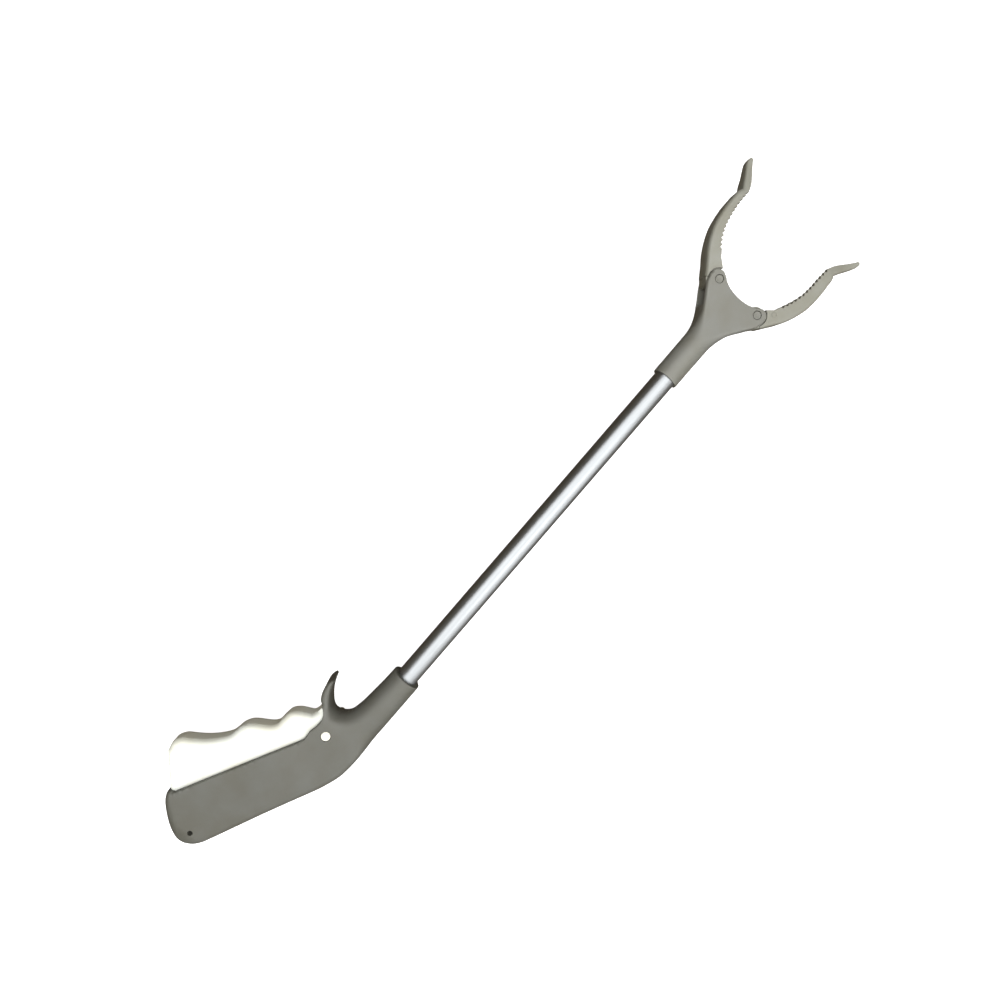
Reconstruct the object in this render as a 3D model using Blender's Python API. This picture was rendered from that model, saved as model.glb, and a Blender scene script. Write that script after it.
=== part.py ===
"""Reacher grabber, about 640 mm long: squeeze trigger, push rod in an aluminium tube, two jaws.

Design frame: the origin is on the tube's axis at the mouth of the handle's sleeve.  X runs along
the tube to the jaws, Y towards the trigger and the hook, Z across the mechanism, whose mid-plane
is z = 0.  Outlines and sizes are in millimetres; everything is scaled to metres when it is made.
"""
import math

import bmesh
import bpy
import numpy as np
from mathutils import Matrix, Vector, geometry

MM = 0.001
GAP = 0.3                    # running gap between neighbouring pieces

# --- placing: the design frame's origin seen from the middle of the box round the object ---
DESIGN_X = -121.65
DESIGN_Y = -22.4

# --- tube and push rod ---
TUBE_R = 8.0
TUBE_WALL = 1.0
TUBE_REAR = -47.0
TUBE_FRONT = 326.0
ROD_R = 2.0
ROD_REAR = -64.4
ROD_FRONT = 346.0
BUSH_LENGTH = 11.0

# --- handle ---
HANDLE_HALF = 12.0           # half thickness of the grip
SLEEVE_R = 11.2
GRIP_WALL = 3.0
GRIP_EDGE_R = 4.0            # rounding along the grip's outer edges
BUTT_EDGE_R = 9.5
HORN_EDGE_R = 2.8
SPLIT = 0.15                 # each half stops this far from the mid-plane
BUTT_HOLE = (-186.5, 48.7)
BUTT_HOLE_R = 2.0
SCREWS = ((-99.0, 9.0), (-55.6, 19.5), (-183.5, 63.6))
SCREW_BOSS_R = 4.6
SCREW_R = 1.45
SCREW_HEAD_R = 2.8
SCREW_HEAD_LOW = -9.6
SCREW_HEAD_HIGH = -7.4
SCREW_TIP = 6.4

# --- trigger ---
PIVOT = (-68.2, 19.3)
PIVOT_R = 3.4
TRIGGER_HALF = 8.4
TRIGGER_EDGE_R = 6.0
TRIGGER_WALL = 2.2
TRIGGER_TURN = math.radians(12.0)
TRIGGER_SWEEP_R = 118.0      # the butt's inner wall clears the trigger's rear edge
BOSS_R = 7.0
ARM_HALF = 2.6               # half thickness of the arm that drives the rod
ROD_TRAVEL = PIVOT[1] * TRIGGER_TURN
LINK_X = PIVOT[0] - ROD_TRAVEL / 2
LINK_R = 1.5

# --- rod end, collar and return spring ---
ROD_END_REAR = LINK_X - 5.0
ROD_END_FRONT = -60.0
ROD_END_HALF_Y = 4.0
ROD_END_HALF_Z = 5.9
COLLAR = (-59.7, -58.2)
RETURN_SPRING = (-57.7, -47.4)

# --- head and jaws ---
NECK_R = 9.7
HEAD_MOUTH = 288.8
HEAD_HALF = 9.0
HEAD_EDGE_R = 2.0
SLOT_HALF = 6.6              # the two plates of the fork are 2.4 mm thick
JAW_PIVOT = (363.0, 18.8)
JAW_TURN = math.radians(35.2)
EAR = (362.7, 20.1)
EAR_R = 6.2
JAW_ROOT_R = 8.1             # the jaw body starts outside the ear
JAW_HALF = 7.5
JAW_EDGE_R = 2.6
JAW_WEB = 2.4
JAW_TAPER = 1.6
ROOT_HALF = 6.2              # half thickness of the jaw's root between the plates
TONGUE_HALF = 4.6            # half thickness of what the rod works in there
HUB_R = 6.4
JAW_PIN_R = 2.0
JAW_PIN_HEAD_R = 2.8
JAW_PIN_HEAD = 1.2
TAIL_LENGTH = 10.0
TAIL_ANGLE = math.radians(235.0)
NOSE_R = 2.2
TAIL_TOP = 1.4               # the tail is lower than the tongue, so that the spring passes over it
TOOTH_PITCH = 3.2
TOOTH_DEPTH = 1.3
POST_R = 0.8
OPENING_SPRING_Z = 3.15
OPENING_SPRING_R = 1.05
OPENING_SPRING_WIRE = 0.3
CROSS_PIN_X = 343.8
CROSS_PIN_R = 0.9

MATERIALS = {
    "grey_plastic": ((0.216, 0.216, 0.192), 0.5, 0.0),
    "light_grey_plastic": ((0.30, 0.30, 0.26), 0.5, 0.0),
    "white_plastic": ((0.86, 0.86, 0.82), 0.4, 0.0),
    "aluminium": ((0.80, 0.81, 0.82), 0.3, 1.0),
    "steel": ((0.55, 0.55, 0.55), 0.3, 1.0),
    "zinc_steel": ((0.62, 0.60, 0.55), 0.35, 1.0),
    "acetal": ((0.75, 0.74, 0.70), 0.4, 0.0),
}

# --- outlines, in millimetres ---
HOOK_SIDE = [
    (-1.0, 11.2), (-15.0, 11.7), (-28.8, 12.7), (-40.0, 14.0), (-45.5, 15.4), (-49.0, 17.7),
    (-51.4, 21.0), (-52.2, 24.6), (-51.0, 29.2), (-47.6, 33.0), (-42.9, 36.3), (-37.0, 38.9),
    (-31.6, 40.8), (-31.0, 42.0), (-35.3, 43.6), (-41.3, 42.9), (-47.3, 40.8), (-51.0, 38.4),
]
RIM = [
    (-52.2, 36.4), (-54.2, 33.3), (-57.2, 30.8), (-61.7, 29.1), (-67.5, 29.3), (-73.1, 30.4),
    (-80.3, 30.3), (-83.3, 31.6), (-167.1, 76.1), (-167.7, 79.2),
]
BACK_SIDE = [
    (-170.4, 79.4), (-174.0, 79.2), (-179.4, 78.0), (-185.6, 74.4), (-193.4, 66.6), (-198.2, 59.8),
    (-201.0, 52.9), (-200.6, 46.2), (-196.6, 40.2), (-190.0, 36.5), (-181.3, 33.3), (-174.4, 30.1),
    (-145.2, 16.7), (-126.3, 7.6), (-107.1, -1.8), (-97.0, -6.0), (-91.2, -8.0), (-86.0, -9.3),
    (-80.0, -10.0), (-70.0, -10.5), (-58.0, -10.9), (-40.0, -11.2), (-20.0, -11.2), (-1.0, -11.2),
]
CAVITY = [
    (-52.4, 43.0), (-53.6, 35.4), (-54.7, 31.4), (-57.3, 28.2), (-59.9, 24.2), (-60.2, 18.5),
    (-58.5, 12.5), (-55.5, 8.0), (-47.2, 6.5), (-47.2, -6.5), (-60.0, -7.4), (-78.0, -7.0),
    (-86.0, -6.0), (-91.0, -4.6), (-106.0, 1.6), (-145.0, 20.4), (-173.0, 33.4), (-179.8, 36.6),
    (-184.4, 39.8), (-184.8, 43.4), (-182.8, 46.4), (-182.5, 50.2),
]
FINGER_SIDE = [
    (-147.8, 100.2), (-142.2, 101.0), (-136.7, 97.8), (-133.5, 92.9), (-128.5, 85.6), (-123.4, 79.8),
    (-118.4, 75.4), (-113.9, 72.5), (-109.7, 71.4), (-104.4, 70.5), (-99.2, 67.8), (-95.3, 62.9),
    (-91.6, 56.6), (-89.2, 53.5), (-86.4, 51.6), (-80.3, 51.0), (-73.3, 49.7), (-68.9, 45.2),
    (-66.3, 40.1), (-64.5, 36.7), (-60.0, 35.0),
]
TRIGGER_ROOT = [(-54.7, 34.6), (-55.6, 31.4), (-58.2, 28.5), (-60.8, 24.9)]
TRIGGER_REAR = [(-75.0, 13.9), (-96.5, 26.5), (-163.5, 64.6), (-167.4, 72.6), (-169.4, 77.9)]
TRIGGER_POCKET = [
    (-144.6, 95.6), (-138.4, 88.2), (-133.0, 81.2), (-126.9, 75.3), (-120.6, 71.0), (-115.2, 68.4),
    (-110.7, 67.4), (-106.7, 66.1), (-103.3, 63.6), (-100.2, 59.4), (-96.1, 52.8), (-91.8, 48.9),
    (-86.9, 47.6), (-84.0, 47.3), (-84.0, 30.0), (-92.0, 16.0), (-162.0, 56.0), (-162.4, 68.0),
    (-166.0, 76.4),
]
NECK_SIDE = [
    (288.8, 9.7), (306.0, 9.7), (322.0, 9.8), (329.0, 10.3), (334.0, 11.3), (339.0, 13.1),
    (344.0, 16.0), (349.5, 19.7), (354.0, 22.9), (357.4, 25.0),
]
FRONT_ARC = [(367.0, 16.0), (365.3, 13.0), (364.0, 9.8), (363.1, 5.4), (362.7, 0.0)]
SLOT = [
    (339.5, 5.2), (341.6, 8.6), (343.2, 11.6), (343.6, 13.4), (343.6, 34.0),
    (377.0, 34.0), (377.0, 15.0), (365.4, 12.6), (363.0, 10.6), (361.3, 6.0), (360.7, 0.0),
]
JAW_OUTER = [
    (358.9, 27.6), (361.8, 29.8), (366.2, 33.0), (371.5, 37.3), (377.0, 40.9), (382.5, 43.8),
    (389.0, 46.3), (396.0, 47.6), (404.0, 48.2), (411.5, 48.0), (418.4, 47.3), (420.4, 46.3),
    (424.2, 48.4), (430.0, 50.9), (436.0, 53.9), (440.0, 55.8), (442.2, 56.2),
]
BEAK_INNER = [
    (444.0, 55.3), (444.3, 53.9), (442.0, 52.2), (437.5, 49.2), (431.9, 45.6), (426.2, 42.4), (420.5, 40.3),
]
TOOTH_LINE = [
    (420.5, 40.3), (412.0, 40.2), (404.0, 39.8), (396.0, 38.6), (390.0, 36.6), (385.0, 33.9),
    (379.5, 30.2),
]
JAW_THROAT = [(375.0, 27.2)]
TONGUE_LINK = [(368.2, 20.4), (371.6, 24.9), (375.0, 29.0), (372.0, 34.5), (364.0, 29.6), (362.6, 24.2)]
HEEL = [
    (362.4, 15.4), (366.0, 19.0), (366.4, 30.6), (361.6, 28.6), (358.9, 26.8), (356.8, 25.0),
    (355.6, 23.9), (355.0, 22.8), (355.0, 21.6), (355.8, 20.4), (358.2, 18.0),
]


# ---------------------------------------------------------------- geometry helpers

def circle(centre, radius, start=0.0, stop=2 * math.pi, count=24):
    """Points on an arc, without the last one when it is a full circle."""
    full = abs(abs(stop - start) - 2 * math.pi) < 1e-9
    steps = count if full else count - 1
    angles = [start + (stop - start) * i / steps for i in range(count)]
    return [(centre[0] + radius * math.cos(a), centre[1] + radius * math.sin(a)) for a in angles]


def mirrored(points):
    """The same outline below the X axis, in reverse order."""
    return [(x, -y) for x, y in reversed(points)]


def resample(points, step):
    """Extra points along the sides of a polyline, so that none is longer than the step."""
    result = []
    for a, b in zip(points, points[1:]):
        count = max(1, math.ceil(math.dist(a, b) / step))
        result += [(a[0] + (b[0] - a[0]) * i / count, a[1] + (b[1] - a[1]) * i / count) for i in range(count)]
    return result + [points[-1]]


def smooth(t):
    t = np.clip(t, 0.0, 1.0)
    return t * t * (3 - 2 * t)


def distance(points, polyline):
    """Distance from each point to the nearest side of a polyline."""
    p = np.asarray(points, dtype=float)[:, None, :]
    a = np.asarray(polyline[:-1], dtype=float)[None]
    d = np.asarray(polyline[1:], dtype=float)[None] - a
    t = np.clip(((p - a) * d).sum(2) / (d * d).sum(2), 0, 1)
    return np.sqrt((((a + t[..., None] * d) - p) ** 2).sum(2)).min(1)


def area(points):
    return sum(a[0] * b[1] - b[0] * a[1] for a, b in zip(points, points[1:] + points[:1])) / 2


def inner_points(outline, depths, step):
    """Rings of points inside an outline, one ring for each depth."""
    loop = resample(outline + outline[:1], step)
    sign = 1 if area(outline) > 0 else -1
    kept = list(loop[:-1])
    rings = []
    for depth in depths:
        for a, b in zip(loop, loop[1:]):
            length = math.dist(a, b)
            normal = (-(b[1] - a[1]) * sign / length, (b[0] - a[0]) * sign / length)
            point = ((a[0] + b[0]) / 2 + normal[0] * depth, (a[1] + b[1]) / 2 + normal[1] * depth)
            if distance([point], loop)[0] < 0.93 * depth:
                continue
            if min(math.dist(point, other) for other in kept) < min(0.45 * step, 0.8 * depth + 0.1):
                continue
            kept.append(point)
            rings.append(point)
    return loop[:-1], rings


def mesh_from(name, vertices, faces):
    mesh = bpy.data.meshes.new(name)
    mesh.from_pydata([Vector(v) * MM for v in vertices], [], faces)
    work = bmesh.new()
    work.from_mesh(mesh)
    bmesh.ops.recalc_face_normals(work, faces=work.faces)
    work.to_mesh(mesh)
    work.free()
    return mesh


def solid(name, mesh):
    piece = bpy.data.objects.new(name, mesh)
    bpy.context.collection.objects.link(piece)
    return piece


def prism(name, outline, low, high):
    """A flat plate of an outline between two heights."""
    count = len(outline)
    vertices = [(x, y, low) for x, y in outline] + [(x, y, high) for x, y in outline]
    sides = [(i, (i + 1) % count, (i + 1) % count + count, i + count) for i in range(count)]
    caps = [tuple(range(count))[::-1], tuple(range(count, 2 * count))]
    return solid(name, mesh_from(name, vertices, sides + caps))


def moulding(name, outline, height, depths, step, low=None):
    """A moulded plate whose faces bulge: height(points) gives the top of every point.

    Without a low value the underside mirrors the top. A number makes it flat at that height, and a
    function gives its height at every point.
    """
    boundary, inside = inner_points(outline, depths, step)
    count = len(boundary)
    edges = [(i, (i + 1) % count) for i in range(count)]
    points = [Vector(p) for p in boundary + inside]
    flat, _, triangles, _, _, _ = geometry.delaunay_2d_cdt(points, edges, [], 1, 1e-5)
    flat = [(p.x, p.y) for p in flat]
    top = height(flat)
    if low is None:
        bottom = -top
    elif callable(low):
        bottom = low(flat)
    else:
        bottom = np.full(len(flat), low)
    total = len(flat)
    vertices = [(x, y, z) for (x, y), z in zip(flat, top)]
    vertices += [(x, y, z) for (x, y), z in zip(flat, bottom)]
    faces = [tuple(t) for t in triangles]
    faces += [tuple(i + total for i in reversed(t)) for t in triangles]
    once = {}
    for triangle in triangles:
        once.update({pair: True for pair in zip(triangle, triangle[1:] + triangle[:1])})
    rim = [(i, j) for i, j in once if (j, i) not in once]
    faces += [(j, i, i + total, j + total) for i, j in rim]
    return solid(name, mesh_from(name, vertices, faces))


def cylinder(name, start, end, radius, axis="Z", centre=(0.0, 0.0), count=24):
    """A round bar along X, or along Z through a centre."""
    ring = circle((0.0, 0.0), radius, count=count)
    if axis == "X":
        place = [(s, a, b) for s in (start, end) for a, b in ring]
    else:
        place = [(centre[0] + a, centre[1] + b, s) for s in (start, end) for a, b in ring]
    sides = [(i, (i + 1) % count, (i + 1) % count + count, i + count) for i in range(count)]
    caps = [tuple(range(count)), tuple(range(count, 2 * count))]
    return solid(name, mesh_from(name, place, sides + caps))


def turned(name, profile, count=24):
    """A ring round the X axis, turned from a closed profile of (x, radius)."""
    vertices = []
    for step in range(count):
        a = 2 * math.pi * step / count
        vertices += [(along, radius * math.cos(a), radius * math.sin(a)) for along, radius in profile]
    size = len(profile)
    faces = []
    for step in range(count):
        for i in range(size):
            a, b = step * size + i, step * size + (i + 1) % size
            after = ((step + 1) % count) * size
            faces.append((a, b, after + (i + 1) % size, after + i))
    return solid(name, mesh_from(name, vertices, faces))


def tube_along(name, path, radius, sides=6):
    """A wire of a round section along a path of points."""
    points = [Vector(p) for p in path]
    vertices, faces = [], []
    normal = None
    for i, point in enumerate(points):
        tangent = (points[min(i + 1, len(points) - 1)] - points[max(i - 1, 0)]).normalized()
        if normal is None:
            normal = tangent.orthogonal().normalized()
        normal = (normal - tangent * normal.dot(tangent)).normalized()
        binormal = tangent.cross(normal)
        for k in range(sides):
            a = 2 * math.pi * k / sides
            vertices.append(tuple(point + (normal * math.cos(a) + binormal * math.sin(a)) * radius))
    for i in range(len(points) - 1):
        for k in range(sides):
            a, b = i * sides + k, i * sides + (k + 1) % sides
            faces.append((a, b, b + sides, a + sides))
    faces.append(tuple(range(sides)))
    faces.append(tuple(range(len(vertices) - sides, len(vertices))))
    return solid(name, mesh_from(name, vertices, faces))


def combine(piece, tool, operation):
    """Join the tool to the piece, or cut it away, and remove the tool."""
    boolean = piece.modifiers.new(operation, "BOOLEAN")
    boolean.operation = operation
    boolean.object = tool
    bpy.context.view_layer.update()
    evaluated = piece.evaluated_get(bpy.context.evaluated_depsgraph_get())
    mesh = bpy.data.meshes.new_from_object(evaluated)
    piece.modifiers.clear()
    piece.data = mesh
    bpy.data.objects.remove(tool)
    return piece


def cut(piece, *tools):
    for tool in tools:
        combine(piece, tool, "DIFFERENCE")
    return piece


def join(piece, *tools):
    for tool in tools:
        combine(piece, tool, "UNION")
    return piece


def mirror_y(name, piece):
    """A mirror-image copy of a piece on the other side of the tube's axis."""
    mesh = piece.data.copy()
    mesh.transform(Matrix.Scale(-1, 4, (0, 1, 0)))
    mesh.flip_normals()
    return solid(name, mesh)


# ---------------------------------------------------------------- handle

def handle_height(points):
    """Half thickness of the handle: a round sleeve that flattens into the grip."""
    gap = np.minimum(distance(points, HOOK_SIDE), distance(points, BACK_SIDE))
    flat = np.array([smooth((-46.0 - x) / 26.0) for x, _ in points])
    half = SLEEVE_R + (HANDLE_HALF - SLEEVE_R) * flat
    radius = (half - 0.5) + (GRIP_EDGE_R - half + 0.5) * flat
    radius += (BUTT_EDGE_R - GRIP_EDGE_R) * np.array([smooth((-172.0 - x) / 14.0) for x, _ in points])
    across = np.array([y for _, y in points])
    radius += (HORN_EDGE_R - radius) * smooth((across - 24.0) / 9.0) * (1 - flat)
    gap = np.minimum(gap, radius)
    return half - radius + np.sqrt(radius ** 2 - (radius - gap) ** 2)


def cavity_outline():
    rear = circle(PIVOT, TRIGGER_SWEEP_R, math.radians(164.4), math.radians(148.5), 6)
    return CAVITY + rear + [(-158.0, 96.0)]


def handle_half(name, side):
    """One half of the handle; side is +1 for the front half and -1 for the back one."""
    outline = HOOK_SIDE + RIM + BACK_SIDE
    depths = (0.5, 1.6, 3.8, 6.4, 9.2)
    half = moulding(name, outline, handle_height, depths, 5.0, low=SPLIT)
    cut(half, prism("cavity", cavity_outline(), -1.0, HANDLE_HALF - GRIP_WALL))
    cut(half, cylinder("bore", TUBE_REAR - GAP, 5.0, TUBE_R + GAP / 2, "X", count=32))
    boss = cylinder("boss", SPLIT, HANDLE_HALF - GRIP_WALL / 2, SCREW_BOSS_R, centre=SCREWS[0], count=20)
    join(half, boss)
    cut(half, cylinder("hole", -1.0, HANDLE_HALF + 2, PIVOT_R + GAP, centre=PIVOT, count=28))
    cut(half, cylinder("hole", -1.0, HANDLE_HALF + 2, BUTT_HOLE_R, centre=BUTT_HOLE, count=16))
    for place in SCREWS:
        if side > 0:
            cut(half, cylinder("hole", -1.0, SCREW_TIP + 1.5, SCREW_R + GAP, centre=place, count=16))
            continue
        cut(half, cylinder("hole", -1.0, -SCREW_HEAD_HIGH + 1, SCREW_R + GAP, centre=place, count=16))
        seat = -SCREW_HEAD_HIGH - GAP
        cut(half, cylinder("seat", seat, HANDLE_HALF + 2, SCREW_HEAD_R + GAP, centre=place, count=16))
    if side < 0:
        half.data.transform(Matrix.Scale(-1, 4, (0, 0, 1)))
        half.data.flip_normals()
    return half


def handle_screw(name, place):
    """Self-tapping screw with a pan head and a cross recess."""
    screw = cylinder(name, SCREW_HEAD_LOW + 0.7, SCREW_HEAD_HIGH, SCREW_HEAD_R, centre=place, count=16)
    step = cylinder("step", SCREW_HEAD_LOW, SCREW_HEAD_HIGH - 0.5, SCREW_HEAD_R - 0.6, centre=place, count=16)
    shank = cylinder("shank", SCREW_HEAD_HIGH - 0.5, SCREW_TIP, SCREW_R, centre=place, count=16)
    join(screw, step, shank)
    for turn in (0.0, math.pi / 2):
        c, s = math.cos(turn), math.sin(turn)
        slot = [(place[0] + c * a - s * b, place[1] + s * a + c * b)
                for a, b in ((-1.5, -0.3), (1.5, -0.3), (1.5, 0.3), (-1.5, 0.3))]
        cut(screw, prism("slot", slot, SCREW_HEAD_LOW - 1, SCREW_HEAD_LOW + 1.2))
    return screw


# ---------------------------------------------------------------- trigger

def trigger_height(points):
    gap = np.minimum(distance(points, FINGER_SIDE), TRIGGER_EDGE_R)
    return TRIGGER_HALF - TRIGGER_EDGE_R + np.sqrt(TRIGGER_EDGE_R ** 2 - (TRIGGER_EDGE_R - gap) ** 2)


def trigger():
    """Finger lever with three crests; its arm reaches down to the push rod."""
    boss = circle(PIVOT, BOSS_R, math.radians(30), math.radians(-130), 9)
    outline = FINGER_SIDE + TRIGGER_ROOT + boss + TRIGGER_REAR
    lever = moulding("trigger", outline, trigger_height, (0.5, 1.6, 3.5, 6.0), 5.0)
    inside = TRIGGER_HALF - TRIGGER_WALL
    cut(lever, prism("pocket", TRIGGER_POCKET, -inside, inside))
    lean = (LINK_X - PIVOT[0]) / PIVOT[1]
    arm = [(PIVOT[0] + 4.0, 14.0), (LINK_X + 3.2, -0.6)]
    arm += circle((LINK_X, 0.0), 3.6, math.radians(-20), math.radians(-160), 7)
    arm += [(LINK_X - 3.4, 0.6), (PIVOT[0] - 4.4, 14.0)]
    join(lever, prism("arm", arm, -ARM_HALF, ARM_HALF))
    slot = circle((LINK_X + 0.5 * lean, -0.5), LINK_R + GAP, math.radians(0), math.radians(-180), 7)
    slot += circle((LINK_X - 0.5 * lean, 0.5), LINK_R + GAP, math.radians(180), math.radians(0), 7)
    cut(lever, prism("slot", slot, -ARM_HALF - 1, ARM_HALF + 1))
    cut(lever, cylinder("hole", -10, 10, PIVOT_R + GAP, centre=PIVOT, count=28))
    return lever


def trigger_pivot_pin():
    return cylinder("trigger_pivot_pin", 0.4 - HANDLE_HALF, HANDLE_HALF, PIVOT_R, centre=PIVOT, count=28)


# ---------------------------------------------------------------- tube and rod

def aluminium_tube():
    inner = TUBE_R - TUBE_WALL
    profile = [(TUBE_REAR, inner), (TUBE_REAR, TUBE_R), (TUBE_FRONT, TUBE_R), (TUBE_FRONT, inner)]
    return turned("aluminium_tube", profile, count=32)


def rod_bush(name, start):
    outer = TUBE_R - TUBE_WALL - GAP
    inner = ROD_R + GAP
    profile = [(start, inner), (start, outer), (start + BUSH_LENGTH, outer), (start + BUSH_LENGTH, inner)]
    return turned(name, profile)


def push_rod():
    rod = cylinder("push_rod", ROD_REAR, ROD_FRONT, ROD_R, "X", count=16)
    return cut(rod, cylinder("hole", -9, 9, CROSS_PIN_R + GAP, centre=(CROSS_PIN_X, 0.0), count=12))


def rod_end():
    """Fork screwed to the rear of the rod; the trigger's arm works between its cheeks."""
    corners = [(ROD_END_REAR, -ROD_END_HALF_Y), (ROD_END_FRONT, -ROD_END_HALF_Y),
               (ROD_END_FRONT, ROD_END_HALF_Y), (ROD_END_REAR, ROD_END_HALF_Y)]
    fork = prism("rod_end", corners, -ROD_END_HALF_Z, ROD_END_HALF_Z)
    gap_front = ROD_REAR - 0.9
    gap = [(ROD_END_REAR - 1, -9), (gap_front, -9), (gap_front, 9), (ROD_END_REAR - 1, 9)]
    cut(fork, prism("gap", gap, -ARM_HALF - GAP, ARM_HALF + GAP))
    cut(fork, cylinder("hole", -9, 9, LINK_R + GAP, centre=(LINK_X, 0.0), count=16))
    cut(fork, cylinder("bore", ROD_REAR - GAP, ROD_END_FRONT + 1, ROD_R + GAP, "X", count=16))
    return fork


def rod_end_pin():
    return cylinder("rod_end_pin", -ROD_END_HALF_Z, ROD_END_HALF_Z, LINK_R, centre=(LINK_X, 0.0), count=16)


def spring_collar():
    profile = [(COLLAR[0], ROD_R + GAP), (COLLAR[0], 5.4), (COLLAR[1], 5.4), (COLLAR[1], ROD_R + GAP)]
    return turned("spring_collar", profile)


def return_spring():
    turns, radius, wire, steps = 4.5, 3.9, 0.45, 12
    count = int(turns * steps)
    low, high = RETURN_SPRING[0] + wire, RETURN_SPRING[1] - wire
    path = []
    for i in range(count + 1):
        a = 2 * math.pi * i / steps
        path.append((low + (high - low) * i / count, radius * math.cos(a), radius * math.sin(a)))
    return tube_along("rod_return_spring", path, wire)


# ---------------------------------------------------------------- head and jaws

def head_outline():
    ear = circle(EAR, EAR_R, math.radians(122), math.radians(-12), 14)
    upper = NECK_SIDE + ear + FRONT_ARC
    return upper + mirrored(upper[:-1])


def head_height(points):
    side = NECK_SIDE + circle(EAR, EAR_R, math.radians(122), math.radians(75), 6)
    gap = np.minimum(distance(points, side), distance(points, mirrored(side)))
    flat = np.array([smooth((x - 322.0) / 22.0) for x, _ in points])
    half = NECK_R + (HEAD_HALF - NECK_R) * flat
    radius = (half - 0.3) + (HEAD_EDGE_R - half + 0.3) * flat
    gap = np.minimum(gap, radius)
    return half - radius + np.sqrt(radius ** 2 - (radius - gap) ** 2)


def jaw_head():
    """One-piece fork: a round neck over the tube and two ears with a slot through them."""
    head = moulding("jaw_head", head_outline(), head_height, (0.5, 1.6, 3.8, 6.2, 8.4), 4.5)
    cut(head, cylinder("bore", HEAD_MOUTH - 2, TUBE_FRONT + GAP, TUBE_R + GAP / 2, "X", count=32))
    cut(head, cylinder("passage", TUBE_FRONT, SLOT[1][0], ROD_R + 1.0, "X", count=20))
    slot = SLOT + mirrored(SLOT[:-1])
    cut(head, prism("slot", slot, -SLOT_HALF, SLOT_HALF))
    for side in (1, -1):
        centre = (JAW_PIVOT[0], side * JAW_PIVOT[1])
        cut(head, cylinder("hole", -12, 12, JAW_PIN_R + GAP, centre=centre, count=20))
        seat = HEAD_HALF - JAW_PIN_HEAD - GAP
        cut(head, cylinder("seat", seat, 12, JAW_PIN_HEAD_R + GAP, centre=centre, count=20))
    return head


def jaw_pin(name, side):
    centre = (JAW_PIVOT[0], side * JAW_PIVOT[1])
    under = HEAD_HALF - JAW_PIN_HEAD
    pin = cylinder(name, under, HEAD_HALF, JAW_PIN_HEAD_R, centre=centre, count=20)
    join(pin, cylinder("shank", -HEAD_HALF + 0.1, under + 0.6, JAW_PIN_R, centre=centre, count=20))
    return pin


def toothed(line):
    """A saw-tooth edge along a line, cut into the jaw."""
    lengths = [0.0]
    for a, b in zip(line, line[1:]):
        lengths.append(lengths[-1] + math.dist(a, b))
    count = round(lengths[-1] / TOOTH_PITCH)
    edge = []
    for i in range(2 * count + 1):
        along = lengths[-1] * i / (2 * count)
        k = max(j for j in range(len(line) - 1) if lengths[j] <= along)
        a, b = line[k], line[k + 1]
        t = (along - lengths[k]) / (lengths[k + 1] - lengths[k])
        normal = (-(a[1] - b[1]) / math.dist(a, b), (a[0] - b[0]) / math.dist(a, b))
        depth = TOOTH_DEPTH if i % 2 else 0.0
        x, y = a[0] + (b[0] - a[0]) * t, a[1] + (b[1] - a[1]) * t
        edge.append((x + normal[0] * depth, y + normal[1] * depth))
    return edge


def jaw_section(points):
    """Half thickness at the outer edge, and the same after that edge has rounded off."""
    x = np.array([point[0] for point in points])
    radius = JAW_EDGE_R - 0.8 * smooth((x - 417.0) / 20.0)
    half = JAW_HALF - 2.0 * smooth((x - 416.0) / 24.0)
    gap = np.minimum(distance(points, JAW_OUTER), radius)
    return half, half - radius + np.sqrt(radius ** 2 - (radius - gap) ** 2)


def jaw_top(points):
    """The flat upper face."""
    return jaw_section(points)[1]


def jaw_underside(points):
    """The lower face: it rises towards the teeth, and leaves a thin web there."""
    half, outer = jaw_section(points)
    x = np.array([point[0] for point in points])
    flank = JAW_WEB - half + JAW_TAPER * distance(points, BEAK_INNER[:-1] + TOOTH_LINE)
    return -np.minimum(outer, flank + 13.0 * smooth((398.0 - x) / 26.0))


def jaw(name):
    """Upper jaw: serrated beak, tongue between the ears, and a tail for the spreader to push."""
    root = circle(JAW_PIVOT, JAW_ROOT_R, math.radians(20), math.radians(117), 9)
    outline = JAW_OUTER + BEAK_INNER[:-1] + toothed(TOOTH_LINE) + JAW_THROAT + root
    body = moulding(name, outline, jaw_top, (0.4, 1.3, 2.6, 5.2), 3.5, low=jaw_underside)
    tongue = circle(JAW_PIVOT, HUB_R, count=28)
    join(body, prism("link", TONGUE_LINK, -ROOT_HALF, ROOT_HALF))
    join(body, prism("heel", HEEL, -ROOT_HALF + 0.05, ROOT_HALF - 0.05))
    join(body, prism("tongue", tongue, -ROOT_HALF + 0.1, ROOT_HALF - 0.1))
    join(body, jaw_tail())
    cut(body, cylinder("hole", -9, 9, JAW_PIN_R + GAP, centre=JAW_PIVOT, count=20))
    return body


def nose_centre(turn):
    """Centre of the tail's round nose when the jaw has closed by an angle."""
    angle = TAIL_ANGLE - turn
    return (JAW_PIVOT[0] + TAIL_LENGTH * math.cos(angle), JAW_PIVOT[1] + TAIL_LENGTH * math.sin(angle))


def jaw_tail():
    nose = nose_centre(0.0)
    across = TAIL_ANGLE - math.pi / 2
    outline = circle(nose, NOSE_R, across, across + math.pi, 9)
    outline += [(JAW_PIVOT[0] - NOSE_R * math.cos(across), JAW_PIVOT[1] - NOSE_R * math.sin(across)),
                (JAW_PIVOT[0] + NOSE_R * math.cos(across), JAW_PIVOT[1] + NOSE_R * math.sin(across))]
    tail = prism("tail", outline, -TONGUE_HALF + 0.1, TAIL_TOP)
    join(tail, cylinder("post", TAIL_TOP - 1, TONGUE_HALF - 0.2, POST_R, centre=nose, count=10))
    return tail


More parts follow.
